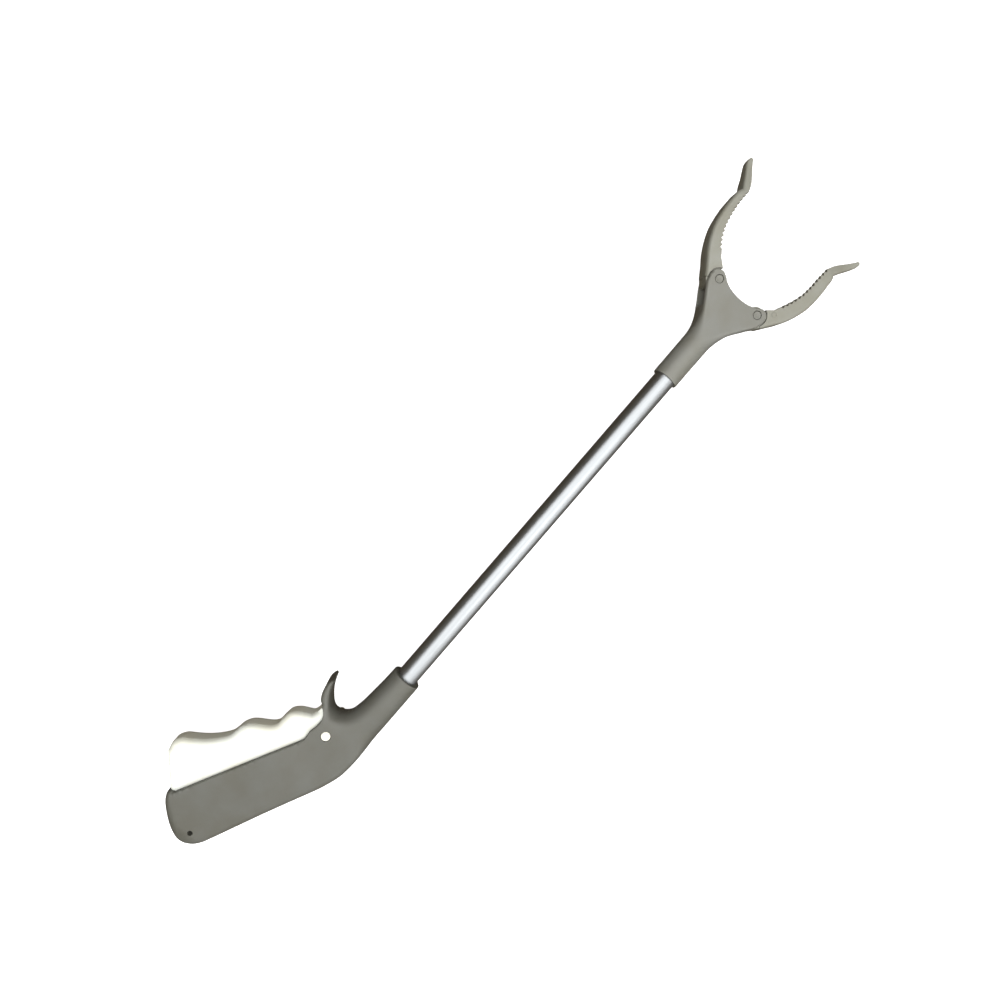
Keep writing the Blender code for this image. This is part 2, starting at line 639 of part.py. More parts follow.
def spreader_flank():
    """The flank that turns rod travel into jaw angle at a constant ratio, rear to front."""
    steps = 10
    track = []
    for i in range(steps + 1):
        x, y = nose_centre(JAW_TURN * i / steps)
        track.append((x - ROD_TRAVEL * i / steps, y))
    flank = []
    for i, point in enumerate(track):
        a, b = track[max(i - 1, 0)], track[min(i + 1, steps)]
        length = math.dist(a, b)
        normal = ((b[1] - a[1]) / length, -(b[0] - a[0]) / length)
        reach = NOSE_R + GAP
        flank.append((point[0] - normal[0] * reach, point[1] - normal[1] * reach))
    return flank[::-1]


def spreader():
    """Wedge on the front of the rod that pushes the two tails apart."""
    flank = spreader_flank()
    front = (flank[-1][0] + 0.3, flank[-1][1] - 0.6)
    rear = (flank[0][0] - 1.6, flank[0][1] - 0.6)
    upper = [(rear[0] - 0.6, 5.0), rear] + flank + [front]
    wedge = prism("spreader", upper + mirrored(upper), -TONGUE_HALF, TAIL_TOP - 0.2)
    block = [(341.0, -4.6), (347.4, -4.6), (347.4, 4.6), (341.0, 4.6)]
    join(wedge, prism("block", block, -TONGUE_HALF + 0.05, TONGUE_HALF))
    cut(wedge, cylinder("bore", 330.0, ROD_FRONT + GAP, ROD_R + GAP, "X", count=16))
    cut(wedge, cylinder("hole", -9, 9, CROSS_PIN_R + GAP, centre=(CROSS_PIN_X, 0.0), count=12))
    return wedge


def spreader_pin():
    return cylinder("spreader_pin", -4.4, 4.4, CROSS_PIN_R, centre=(CROSS_PIN_X, 0.0), count=12)


def opening_spring():
    """Extension spring between the two tails; it pulls them together and opens the jaws."""
    post_x, post_y = nose_centre(0.0)
    loop_r = POST_R + GAP + OPENING_SPRING_WIRE
    start = loop_r + 0.9 - post_y
    turns, steps = 9, 8
    loop = [(post_x + loop_r * math.sin(a), -post_y - loop_r * math.cos(a), OPENING_SPRING_Z)
            for a in (math.radians(30 * i) for i in range(-4, 6))]
    coil = []
    for i in range(turns * steps + 1):
        a = 2 * math.pi * i / steps
        along = start - 2 * start * i / (turns * steps)
        coil.append((post_x + OPENING_SPRING_R * math.cos(a), along,
                     OPENING_SPRING_Z + OPENING_SPRING_R * math.sin(a)))
    other = [(x, -y, z) for x, y, z in reversed(loop)]
    return tube_along("jaw_opening_spring", loop + coil + other, OPENING_SPRING_WIRE, sides=5)


# ---------------------------------------------------------------- assembly

def finish(piece, material):
    if material not in bpy.data.materials:
        colour, roughness, metallic = MATERIALS[material]
        made = bpy.data.materials.new(material)
        made.use_nodes = True
        shader = made.node_tree.nodes["Principled BSDF"]
        shader.inputs["Base Color"].default_value = (*colour, 1)
        shader.inputs["Roughness"].default_value = roughness
        shader.inputs["Metallic"].default_value = metallic
    piece.data.materials.clear()
    piece.data.materials.append(bpy.data.materials[material])
    piece.data.shade_smooth()
    piece.data.set_sharp_from_angle(angle=math.radians(35))
    return piece


def empty(name, place, parent=None):
    holder = bpy.data.objects.new(name, None)
    bpy.context.collection.objects.link(holder)
    holder.empty_display_size = 0.02
    holder.parent = parent
    holder.location = Vector(place) * MM
    return holder


def hang(piece, holder, place=(0.0, 0.0, 0.0)):
    """Parent a piece to an empty that stands at a place of the design frame."""
    piece.parent = holder
    piece.data.transform(Matrix.Translation(-Vector(place) * MM))
    return piece


def main():
    for old in list(bpy.data.objects):
        bpy.data.objects.remove(old)
    frame = empty("grabber_frame", (DESIGN_X, DESIGN_Y, HANDLE_HALF))
    fixed = [
        (handle_half("handle_shell_front", 1), "grey_plastic"),
        (handle_half("handle_shell_back", -1), "grey_plastic"),
        (aluminium_tube(), "aluminium"),
        (jaw_head(), "light_grey_plastic"),
        (rod_bush("rear_rod_bush", TUBE_REAR + GAP), "acetal"),
        (rod_bush("front_rod_bush", TUBE_FRONT - GAP - BUSH_LENGTH), "acetal"),
        (jaw_pin("jaw_pin_upper", 1), "steel"),
        (jaw_pin("jaw_pin_lower", -1), "steel"),
        (return_spring(), "zinc_steel"),
        (opening_spring(), "zinc_steel"),
    ]
    fixed += [(handle_screw(f"handle_screw_{i + 1}", p), "zinc_steel") for i, p in enumerate(SCREWS)]
    for piece, material in fixed:
        hang(finish(piece, material), frame)

    pivot = (*PIVOT, 0.0)
    trigger_axis = empty("trigger_axis", pivot, frame)
    for piece in (trigger(), trigger_pivot_pin()):
        hang(finish(piece, "white_plastic"), trigger_axis, pivot)

    rod_axis = empty("rod_axis", (LINK_X, 0.0, 0.0), frame)
    moving = [(push_rod(), "steel"), (rod_end(), "acetal"), (rod_end_pin(), "steel"),
              (spring_collar(), "zinc_steel"), (spreader(), "acetal"), (spreader_pin(), "steel")]
    for piece, material in moving:
        hang(finish(piece, material), rod_axis, (LINK_X, 0.0, 0.0))

    upper = jaw("jaw_upper")
    lower = mirror_y("jaw_lower", upper)
    for piece, side in ((upper, 1), (lower, -1)):
        place = (JAW_PIVOT[0], side * JAW_PIVOT[1], 0.0)
        axis = empty(piece.name + "_axis", place, frame)
        hang(finish(piece, "light_grey_plastic"), axis, place)


main()
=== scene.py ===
"""Looks of the reacher grabber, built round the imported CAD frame.

The outlines are the design's own, in millimetres: the origin is on the tube's axis, 1 mm in front of
the handle's sleeve, X runs to the jaws, Y to the trigger and the hook, and z = 0 is the mid-plane.
The frame says where that origin is.
"""

import math

import bmesh
import bpy
import numpy as np
from mathutils import Matrix, Vector, geometry


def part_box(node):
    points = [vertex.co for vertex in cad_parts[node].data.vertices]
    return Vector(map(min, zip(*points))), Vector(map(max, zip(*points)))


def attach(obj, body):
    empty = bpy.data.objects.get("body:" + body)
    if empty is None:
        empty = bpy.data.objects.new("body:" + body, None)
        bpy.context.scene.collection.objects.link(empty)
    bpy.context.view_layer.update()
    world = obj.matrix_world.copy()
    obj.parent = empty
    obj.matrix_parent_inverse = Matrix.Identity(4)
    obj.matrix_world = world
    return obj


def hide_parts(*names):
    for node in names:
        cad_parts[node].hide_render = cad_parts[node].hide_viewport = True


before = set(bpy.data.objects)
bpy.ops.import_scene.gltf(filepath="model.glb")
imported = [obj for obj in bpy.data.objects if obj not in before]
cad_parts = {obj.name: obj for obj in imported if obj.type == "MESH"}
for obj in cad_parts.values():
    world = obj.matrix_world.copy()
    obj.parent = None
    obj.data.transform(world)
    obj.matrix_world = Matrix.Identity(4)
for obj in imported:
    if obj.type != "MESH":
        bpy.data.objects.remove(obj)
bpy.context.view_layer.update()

MM = 0.001
WELD = 2e-6                 # points closer than this become one after a cut, in metres
GAP = 0.3                   # running gap between two pieces

# A name that ends in HALF is half a thickness, from the mid-plane up. One that ends in ARC holds the
# angles where an arc starts and stops. A START and a SPAN say where a blend begins and how far it goes.

# --- mesh of a moulded plate ---
RING_ANGLES = (14, 28, 42, 55, 68, 80, 92)      # angles along a rounded edge that get a ring of points
RING_LEAST = 0.04           # nearest that a ring may come to the outline
RING_ROOM = 0.94            # share of its depth that a ring's point keeps from every edge
NET_ROW = 0.866             # height of a triangle with sides of 1
NET_ROOM = 0.35             # room between the net and the rounded edge, in grid steps
THIN_CELL = 0.12            # side of a square that holds no more than one point
DELAUNAY_SLACK = 1e-5

# --- tube ---
TUBE_REAR = -47.0
TUBE_FRONT = 326.0
TUBE_R = 8.0
TUBE_WALL = 1.0
TUBE_CHAMFER = 0.2
TUBE_SEAT = 0.12            # room round the tube in the handle and in the head
BORE_PAST = 5.0             # how far the tube's bore runs past the sleeve's mouth
tube_low, tube_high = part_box("aluminium_tube")
tube_y, tube_z = [(tube_low[i] + tube_high[i]) / 2 for i in (1, 2)]
ORIGIN = Vector((tube_low[0] - TUBE_REAR * MM, tube_y, tube_z))

# --- handle ---
HANDLE_HALF = 12.0
SLEEVE_MOUTH = -1.0
SLEEVE_R = 11.2
SLEEVE_UPRIGHT = 0.5        # what stays upright at the widest line of a round section
GRIP_START = -46.0
GRIP_SPAN = 26.0
GRIP_WALL = 3.0
GRIP_EDGE_R = 4.0
BUTT_EDGE_R = 9.5
BUTT_AXIS = (-0.94, 0.34)   # the way from the sleeve to the butt
BUTT_START = 188.0
BUTT_SPAN = 14.0
HORN_EDGE_R = 2.8
HORN_START = 24.0
HORN_SPAN = 9.0
RIM_R = 0.5
LIP_REACH = 0.8             # the rounded edge of a mouth: how far along, and how deep
SLEEVE_LIP = 0.35
SPLIT = 0.12                # each half of the handle ends this far from the mid-plane
SPLIT_EDGE = 0.02           # least thickness of a half
CAVITY_CORNER = (-158.0, 96.0)
BUTT_HOLE = (-186.5, 48.7)
BUTT_HOLE_R = 2.0
SCREWS = ((-99.0, 9.0), (-55.6, 19.5), (-183.5, 63.6))
SCREW_SEAT = 7.1
SCREW_SEAT_R = 3.1
PIVOT = (-68.2, 19.3)
PIVOT_R = 3.4
PIVOT_FOOT = 0.4            # bevel at the back, and how far the pin stays below the handle there
PIVOT_RIM = ((0.35, 0.0), (0.1, 0.12), (0.0, 0.4))                      # down from the top, in from the side
PIVOT_DIMPLE = ((0.0, 1.1), (0.12, 0.9), (0.35, 0.55), (0.35, 0.0))     # down from the top, radius

# --- trigger ---
TRIGGER_HALF = 8.4
TRIGGER_EDGE_R = 4.8
TRIGGER_END_R = 1.8
TRIGGER_END_REACH = 6.0
TRIGGER_POCKET_HALF = 4.4
TRIGGER_SHOULDER = 6.2      # half thickness of what stays inside the rim
TRIGGER_SWEEP_R = 120.6     # room in the handle for the trigger's far end as it turns
TRIGGER_SWEEP = (164.4, 148.5)
BOSS_R = 7.0
BOSS_ARC = (30.0, -130.0)
ARM_HALF = 2.6
ARM_END_R = 3.6
ARM_END_ARC = (-20.0, -160.0)
LINK_X = -70.22
ARM_FRONT = [(PIVOT[0] + 4.0, 14.0), (LINK_X + 3.2, -0.6)]
ARM_BACK = [(LINK_X - 3.4, 0.6), (PIVOT[0] - 4.4, 14.0)]
LINK_R = 1.5
LINK_SLIDE = 0.5

# --- head ---
NECK_R = 9.7
HEAD_MOUTH = 288.8
HEAD_HALF = 9.0
HEAD_EDGE_R = 2.0
HEAD_UPRIGHT = 0.3
HEAD_LIP = 0.4
HEAD_LEAST = 0.05           # least half thickness of the head's mesh
FORK_START = 322.0
FORK_SPAN = 22.0
FRONT_R = 0.6
PASSAGE_R = 3.0
SLOT_HALF = 6.6
EAR = (362.7, 20.1)
EAR_R = 6.2
EAR_SIDE_ARC = (122.0, 75.0)
EAR_FRONT_ARC = (75.0, -12.0)
RIVET_R = 2.0
RIVET_HEAD_R = 2.8
RIVET_HEAD = 1.2
RIVET_ROOM = 0.42
RIVET_FOOT = 0.1            # how far the rivet stays below the head at the back
RIVET_RIM = ((0.35, 0.0), (0.08, 0.2), (0.0, 0.5), (0.12, 0.95))        # down from the top, in from the side
RIVET_DISH = 0.2

# --- jaws ---
JAW_PIVOT = (363.0, 18.8)
JAW_ROOT_R = 8.1
JAW_ROOT_ARC = (20.0, 117.0)
JAW_HALF = 7.5
JAW_EDGE_R = 2.6
JAW_EDGE_REACH = 8.0        # no rounded edge lies further from the outer side than this
JAW_WEB = 2.4               # thickness at the teeth
JAW_TAPER = 1.6             # rise of the underside for each step towards the teeth
JAW_SOFTNESS = 0.35         # how gently the side wall turns into the web
ROOT_START = 398.0
ROOT_SPAN = 26.0
ROOT_DEPTH = 13.0           # brings the underside back to its full depth at the root
BEAK_START = 416.0
BEAK_SPAN = 22.0
BEAK_LOSS = 3.4
BEAK_EDGE_START = 417.0
BEAK_EDGE_SPAN = 20.0
BEAK_EDGE_LOSS = 0.8
TOOTH_BEVEL = 0.25
TOOTH_BEVEL_REACH = 0.5
ROOT_HALF = 6.2
HEEL_DROP = 0.05            # the heel and the hub are this much thinner than the root on each side
HUB_DROP = 0.1
HUB_R = 6.4
TAIL_LENGTH = 10.0
TAIL_ANGLE = math.radians(235.0)
TAIL_TOP = 1.4
TAIL_HALF = 4.6
TAIL_FOOT = 0.1
POST_DROP = 0.2
NOSE_R = 2.2
POST_R = 0.8
TOOTH_PITCH = 3.2
TOOTH_DEPTH = 1.3
TOOTH_SHAPE = ((0.0, 0.0), (0.12, 0.0), (0.34, 0.5), (0.56, 1.0), (0.68, 1.0), (0.84, 0.5))  # along, deep
JAW_MARK = (371.9, -28.2)
JAW_MARK_R = 1.7
JAW_MARK_LINE = 0.22
JAW_MARK_DEPTH = 0.25
WIDE_START = 370.0          # a blade takes its extra width between the root and the beak
WIDE_SPAN = 16.0
WIDE_END = 410.0
WIDE_END_SPAN = 26.0
WIDE_LEAN = 0.2
UPPER_EXTRA = -1.4          # how much wider than the design a jaw's blade is
LOWER_EXTRA = 1.7
UPPER_BENDS = [(0.022, 32.0, 58.0)]             # turn in radians, and where it starts and stops
LOWER_BENDS = [(0.068, 8.0, 36.0), (-0.032, 48.0, 88.0)]

HOOK_INNER = [
    (-1.0, 11.2), (-15.0, 11.7), (-28.8, 12.7), (-40.0, 14.0), (-45.5, 15.4), (-49.0, 17.7),
    (-51.4, 21.0), (-52.2, 24.6), (-51.0, 29.2), (-47.6, 33.0), (-42.9, 36.3), (-37.6, 38.8),
    (-33.2, 40.3),
]
HOOK_OUTER = [(-32.7, 41.4), (-36.3, 43.1), (-41.6, 42.7), (-47.3, 40.8), (-51.0, 38.4), (-52.2, 36.4)]
RIM_ROOT = [
    (-52.2, 36.4), (-54.2, 33.3), (-57.2, 30.8), (-61.7, 29.1), (-67.5, 29.3), (-73.1, 30.4),
    (-80.3, 29.9), (-83.5, 31.2),
]
RIM_EDGE = [(-83.5, 31.2), (-169.4, 76.8)]
BACK_SIDE = [
    (-169.9, 80.0), (-172.2, 80.8), (-175.6, 80.2), (-180.4, 78.2), (-186.0, 74.2), (-193.2, 66.6),
    (-197.8, 59.8), (-200.3, 52.9), (-199.8, 46.4), (-195.8, 40.6), (-189.0, 37.0), (-181.3, 33.3),
    (-174.4, 30.1), (-145.2, 16.7), (-126.3, 7.6), (-107.1, -1.8), (-97.0, -6.0), (-91.2, -8.0),
    (-86.0, -9.3), (-80.0, -10.0), (-70.0, -10.5), (-58.0, -10.9), (-40.0, -11.2), (-20.0, -11.2),
    (-1.0, -11.2),
]
CAVITY = [
    (-52.4, 43.0), (-53.6, 35.4), (-54.7, 31.4), (-57.3, 28.2), (-59.9, 24.2), (-60.2, 18.5),
    (-58.5, 12.5), (-55.5, 8.0), (-47.2, 6.5), (-47.2, -6.5), (-60.0, -7.4), (-78.0, -7.0),
    (-86.0, -6.0), (-91.0, -4.6), (-106.0, 1.6), (-145.0, 20.4), (-173.0, 33.4), (-179.8, 36.6),
    (-184.4, 39.8), (-184.8, 43.4), (-182.8, 46.4), (-182.5, 50.2),
]
FINGER_SIDE = [
    (-147.8, 100.2), (-142.2, 101.0), (-136.7, 97.8), (-133.5, 92.9), (-128.5, 85.6), (-123.4, 79.8),
    (-118.4, 75.4), (-113.9, 72.5), (-109.7, 71.4), (-104.4, 70.5), (-99.2, 67.8), (-95.3, 62.9),
    (-91.6, 56.6), (-89.2, 53.5), (-86.4, 51.6), (-80.3, 51.0), (-73.3, 49.7), (-68.9, 45.2),
    (-66.3, 40.1), (-64.5, 36.7), (-60.0, 35.0),
]
INSIDE_HANDLE = [(-160.0, 40.0), (-70.0, 5.0), (-45.0, 20.0)]
TRIGGER_ROOT = [(-54.7, 34.6), (-55.6, 31.4), (-58.2, 28.5), (-60.8, 24.9)]
TRIGGER_REAR = [(-75.0, 13.9), (-96.5, 26.5), (-163.5, 64.6), (-168.2, 74.0), (-170.7, 80.4)]
TRIGGER_POCKET = [
    (-144.6, 95.6), (-138.4, 88.2), (-133.0, 81.2), (-126.9, 75.3), (-120.6, 71.0), (-115.2, 68.4),
    (-110.7, 67.4), (-106.7, 66.1), (-103.3, 63.6), (-100.2, 59.4), (-96.1, 52.8), (-91.8, 48.9),
    (-86.9, 47.6), (-84.0, 47.3), (-84.0, 30.0), (-92.0, 16.0), (-162.0, 56.0), (-162.4, 68.0),
    (-166.0, 76.4),
]
NECK_SIDE = [
    (288.8, 9.7), (306.0, 9.7), (322.0, 9.8), (329.0, 10.3), (334.0, 11.3), (339.0, 13.1),
    (344.0, 16.0), (349.5, 19.7), (354.0, 22.9), (357.4, 25.0),
]
FRONT_ARC = [(367.0, 16.0), (365.3, 13.0), (364.0, 9.8), (363.1, 5.4), (362.7, 0.0)]
SLOT = [
    (339.5, 5.2), (341.6, 8.6), (343.2, 11.6), (343.6, 13.4), (343.6, 34.0),
    (377.0, 34.0), (377.0, 15.0), (365.4, 12.6), (363.0, 10.6), (361.3, 6.0), (360.7, 0.0),
]
JAW_OUTER = [
    (358.9, 27.6), (361.8, 29.8), (366.2, 33.0), (371.5, 37.3), (377.0, 40.9), (382.5, 43.8),
    (389.0, 46.3), (396.0, 47.6), (404.0, 48.2), (411.5, 48.0), (418.4, 47.3), (420.4, 46.3),
]
BEAK_OUTER = [(420.4, 46.3), (423.9, 48.3), (428.9, 50.8), (433.9, 53.8), (437.2, 55.5), (439.0, 55.8)]
BEAK_INNER = [
    (440.6, 55.0), (440.9, 53.7), (438.9, 52.0), (435.2, 49.2), (430.6, 45.7), (425.7, 42.6), (420.3, 40.4),
]
TOOTH_LINE = [
    (420.3, 40.4), (412.0, 40.2), (404.0, 39.8), (396.0, 38.6), (390.0, 36.6), (385.0, 33.9),
    (379.5, 30.2),
]
JAW_THROAT = [(375.0, 27.2)]
TONGUE_LINK = [(368.2, 20.4), (371.6, 24.9), (375.0, 29.0), (372.0, 34.5), (364.0, 29.6), (362.6, 24.2)]
HEEL = [
    (362.4, 15.4), (366.0, 19.0), (366.4, 30.6), (361.6, 28.6), (358.9, 26.8), (356.8, 25.0),
    (355.6, 23.9), (355.0, 22.8), (355.0, 21.6), (355.8, 20.4), (358.2, 18.0),
]


# ---------------------------------------------------------------- outlines

def circle(centre, radius, start=0.0, stop=360.0, count=48):
    """Points on an arc, in degrees, without the last one when it is a full circle."""
    steps = count if abs(stop - start) == 360 else count - 1
    angles = [math.radians(start + (stop - start) * i / steps) for i in range(count)]
    return [(centre[0] + radius * math.cos(a), centre[1] + radius * math.sin(a)) for a in angles]


def mirrored(points):
    """The same run on the other side of the tube's axis, in the order that carries on round."""
    return [(x, -y) for x, y in reversed(points)]


def spline(points, step):
    """Points along a smooth curve through the given ones; long sides stay straight."""
    long_side, near_end = 12.0, 2.0
    p = [np.array(points[0], dtype=float)]
    for a, b in zip(points, points[1:]):
        a, b = np.array(a, dtype=float), np.array(b, dtype=float)
        length = np.linalg.norm(b - a)
        if length > long_side:
            p += [a + (b - a) * near_end / length, b - (b - a) * near_end / length]
        p.append(b)
    p = [2 * p[0] - p[1]] + p + [2 * p[-1] - p[-2]]
    chord = [np.linalg.norm(b - a) for a, b in zip(p, p[1:])]
    slope = [None]
    for i in range(1, len(p) - 1):
        before, after = chord[i - 1], chord[i]
        arriving, leaving = (p[i] - p[i - 1]) / before, (p[i + 1] - p[i]) / after
        slope.append((arriving * after + leaving * before) / (before + after))
    result = []
    for i in range(1, len(p) - 2):
        count = max(1, math.ceil(chord[i] / step))
        for k in range(count):
            t = k / count
            start, end = 2 * t ** 3 - 3 * t ** 2 + 1, 3 * t ** 2 - 2 * t ** 3
            leave, arrive = chord[i] * (t ** 3 - 2 * t ** 2 + t), chord[i] * (t ** 3 - t ** 2)
            point = start * p[i] + leave * slope[i] + end * p[i + 1] + arrive * slope[i + 1]
            result.append((float(point[0]), float(point[1])))
    return result + [tuple(map(float, p[-2]))]


def straight(points, step):
    """Points along the straight sides of a polyline."""
    result = []
    for a, b in zip(points, points[1:]):
        count = max(1, math.ceil(math.dist(a, b) / step))
        run, rise = b[0] - a[0], b[1] - a[1]
        result += [(a[0] + run * i / count, a[1] + rise * i / count) for i in range(count)]
    return result + [points[-1]]


def joined(*parts):
    """One closed outline from several runs, without doubled points."""
    closest = 0.02
    loop = []
    for part in parts:
        for point in part:
            if not loop or math.dist(point, loop[-1]) > closest:
                loop.append(point)
    if math.dist(loop[0], loop[-1]) < closest:
        loop.pop()
    return loop


def distance(points, polyline):
    """Distance from each point to the nearest side of a polyline."""
    p = np.asarray(points, dtype=float)
    a = np.asarray(polyline[:-1], dtype=float)
    d = np.asarray(polyline[1:], dtype=float) - a
    least, batch = 1e-12, 2000
    length = np.maximum((d * d).sum(1), least)
    best = np.empty(len(p))
    for start in range(0, len(p), batch):
        q = p[start:start + batch, None, :]
        t = np.clip(((q - a[None]) * d[None]).sum(2) / length, 0, 1)
        gap = a[None] + t[..., None] * d[None] - q
        best[start:start + batch] = np.sqrt((gap ** 2).sum(2)).min(1)
    return best


def inside(points, loop):
    """Whether each point lies inside a closed outline."""
    p = np.asarray(points, dtype=float)
    result = np.zeros(len(p), dtype=bool)
    for (x1, y1), (x2, y2) in zip(loop, loop[1:] + loop[:1]):
        if y1 == y2:
            continue
        crosses = (p[:, 1] < y1) != (p[:, 1] < y2)
        result ^= crosses & (p[:, 0] < (x2 - x1) * (p[:, 1] - y1) / (y2 - y1) + x1)
    return result


def smooth(t):
    """A step from 0 to 1 that starts and ends level."""
    t = np.clip(t, 0.0, 1.0)
    return t * t * (3 - 2 * t)


def rounded(gap, half, radius):
    """Height at a distance from an edge that is rounded with a radius."""
    gap = np.minimum(gap, radius)
    return half - radius + np.sqrt(np.maximum(radius ** 2 - (radius - gap) ** 2, 0))


def dropped(gap, radius):
    """How far a rounded edge has dropped at a distance from it."""
    return radius - np.sqrt(radius ** 2 - (radius - np.minimum(gap, radius)) ** 2)


def lip(gap, reach, depth):
    """How far a mouth's edge has dropped at a distance from the mouth."""
    inward = np.clip(gap / reach, 0, 1)
    return depth * (1 - np.sqrt(1 - (1 - inward) ** 2))


def edge_radius(half, upright, radius, flat):
    """The rounding of a section that goes from round (flat = 0) to a plate (flat = 1)."""
    return (half - upright) + (radius - half + upright) * flat


# ---------------------------------------------------------------- meshes

def mesh_from(name, vertices, faces):
    """A mesh with its faces outward, from places in the design's millimetres."""
    mesh = bpy.data.meshes.new(name)
    mesh.from_pydata([ORIGIN + Vector(v) * MM for v in vertices], [], faces)
    work = bmesh.new()
    work.from_mesh(mesh)
    bmesh.ops.recalc_face_normals(work, faces=work.faces)
    work.to_mesh(mesh)
    work.free()
    return mesh


def piece(name, mesh):
    """A new object in the scene."""
    made = bpy.data.objects.new(name, mesh)
    bpy.context.collection.objects.link(made)
    return made


def side_rings(outline, radius, gap_to_edges):
    """Points that follow an outline inside, closer together where its edge is steeper."""
    a = np.asarray(outline)
    b = np.roll(a, -1, axis=0)
    area = (a[:, 0] * b[:, 1] - b[:, 0] * a[:, 1]).sum()
    side = (b - a) / np.linalg.norm(b - a, axis=1)[:, None]
    normal = np.stack([-side[:, 1], side[:, 0]], axis=1) * (1 if area > 0 else -1)
    middle = (a + b) / 2
    reach = radius(middle)
    rings = []
    for angle in RING_ANGLES:
        depth = reach * (1 - math.cos(math.radians(angle)))
        ring = middle + normal * depth[:, None]
        keep = (depth > RING_LEAST) & inside(ring, outline)
        keep[keep] &= gap_to_edges(ring[keep]) >= RING_ROOM * depth[keep]
        rings.append(ring[keep])
    return rings


def inner_net(outline, radius, grid, gap_to_edges):
    """Points of an even net of triangles, where the plate is past its rounded edge."""
    low, high = np.min(outline, axis=0), np.max(outline, axis=0)
    rows = np.arange(low[1], high[1], grid * NET_ROW)
    columns = np.arange(low[0], high[0], grid)
    net = np.array([(x + (grid / 2) * (i % 2), y) for i, y in enumerate(rows) for x in columns])
    net = net[inside(net, outline)]
    return net[gap_to_edges(net) > radius(net) + NET_ROOM * grid]


def thinned(points):
    """The points, with no more than one in a small square."""
    seen, kept = set(), []
    for x, y in points:
        cell = (round(x / THIN_CELL), round(y / THIN_CELL))
        if cell not in seen:
            seen.add(cell)
            kept.append((float(x), float(y)))
    return kept


def filled(loops, points):
    """Flat places and triangles that fill the first outline and leave the others open."""
    edges, first = [], 0
    for loop in loops:
        edges += [(first + i, first + (i + 1) % len(loop)) for i in range(len(loop))]
        first += len(loop)
    places = [Vector(p) for p in [p for loop in loops for p in loop] + points]
    flat, _, triangles, _, _, _ = geometry.delaunay_2d_cdt(places, edges, [], 1, DELAUNAY_SLACK)
    flat = np.array([(p.x, p.y) for p in flat])
    triangles = np.array(triangles)
    centre = flat[triangles].mean(1)
    keep = inside(centre, loops[0])
    for hole in loops[1:]:
        keep &= ~inside(centre, hole)
    used, triangles = np.unique(triangles[keep], return_inverse=True)
    return flat[used], triangles.reshape(-1, 3)


def shell_faces(triangles, total):
    """The upper face, the lower face and the walls between them, for total places in each face."""
    once = {(int(t[i]), int(t[(i + 1) % 3])) for t in triangles for i in range(3)}
    rim = [(i, j) for i, j in once if (j, i) not in once]
    faces = [tuple(map(int, t)) for t in triangles]
    faces += [tuple(int(i) + total for i in t[::-1]) for t in triangles]
    return faces + [(j, i, i + total, j + total) for i, j in sorted(rim)]


def plate(name, outline, height, radius, grid, low=None, holes=()):
    """A moulded plate: height(points) is its top, radius(points) how far its edges round off.

    Without a low value the underside mirrors the top. A number makes it flat at that height, and a
    function gives its height at every point.
    """
    loops = [outline, *holes]
    closed = [loop + loop[:1] for loop in loops]

    def gap_to_edges(points):
        return np.min([distance(points, loop) for loop in closed], axis=0)

    inner = side_rings(outline, radius, gap_to_edges)
    inner.append(inner_net(outline, radius, grid, gap_to_edges))
    flat, triangles = filled(loops, thinned(np.concatenate(inner)))
    top = height(flat)
    if low is None:
        bottom = -top
    elif callable(low):
        bottom = low(flat)
    else:
        bottom = np.full(len(flat), low)
    vertices = np.concatenate([np.column_stack([flat, top]), np.column_stack([flat, bottom])])
    return piece(name, mesh_from(name, vertices.tolist(), shell_faces(triangles, len(flat))))


def prism(name, outline, low, high):
    """A solid with straight sides between two heights."""
    count = len(outline)
    vertices = [(x, y, low) for x, y in outline] + [(x, y, high) for x, y in outline]
    sides = [(i, (i + 1) % count, (i + 1) % count + count, i + count) for i in range(count)]
    caps = [tuple(range(count))[::-1], tuple(range(count, 2 * count))]
    return piece(name, mesh_from(name, vertices, sides + caps))


def turned(name, profile, axis="X", centre=(0.0, 0.0), count=96):
    """A solid turned from a profile of (along, radius); a radius of 0 closes it on the axis."""
    ring = circle((0.0, 0.0), 1.0, count=count)
    vertices, rows = [], []
    for along, radius in profile:
        if radius == 0:
            rows.append([len(vertices)] * count)
            places = [(0.0, 0.0)]
        else:
            rows.append(list(range(len(vertices), len(vertices) + count)))
            places = [(radius * c, radius * s) for c, s in ring]
        for p, q in places:
            vertices.append((along, p, q) if axis == "X" else (centre[0] + p, centre[1] + q, along))
    faces = []
    pairs = list(zip(rows, rows[1:]))
    if profile[0][1] > 0 and profile[-1][1] > 0:
        pairs.append((rows[-1], rows[0]))
    for one, two in pairs:
        for i in range(count):
            j = (i + 1) % count
            corners = dict.fromkeys((one[i], one[j], two[j], two[i]))
            if len(corners) > 2:
                faces.append(tuple(corners))
    return piece(name, mesh_from(name, vertices, faces))


def combine(target, tool, operation):
    """Cut or join two solids, and weld the points that this leaves almost touching."""
    boolean = target.modifiers.new(operation, "BOOLEAN")
    boolean.operation = operation
    boolean.object = tool
    bpy.context.view_layer.update()
    evaluated = target.evaluated_get(bpy.context.evaluated_depsgraph_get())
    mesh = bpy.data.meshes.new_from_object(evaluated)
    target.modifiers.clear()
    target.data = mesh
    work = bmesh.new()
    work.from_mesh(mesh)
    bmesh.ops.remove_doubles(work, verts=work.verts, dist=WELD)
    bmesh.ops.dissolve_degenerate(work, edges=work.edges, dist=WELD)
    work.to_mesh(mesh)
    work.free()
    bpy.data.objects.remove(tool)
    return target


def cut(target, *tools):
    for tool in tools:
        combine(target, tool, "DIFFERENCE")
    return target


def join(target, *tools):
    for tool in tools:
        combine(target, tool, "UNION")
    return target


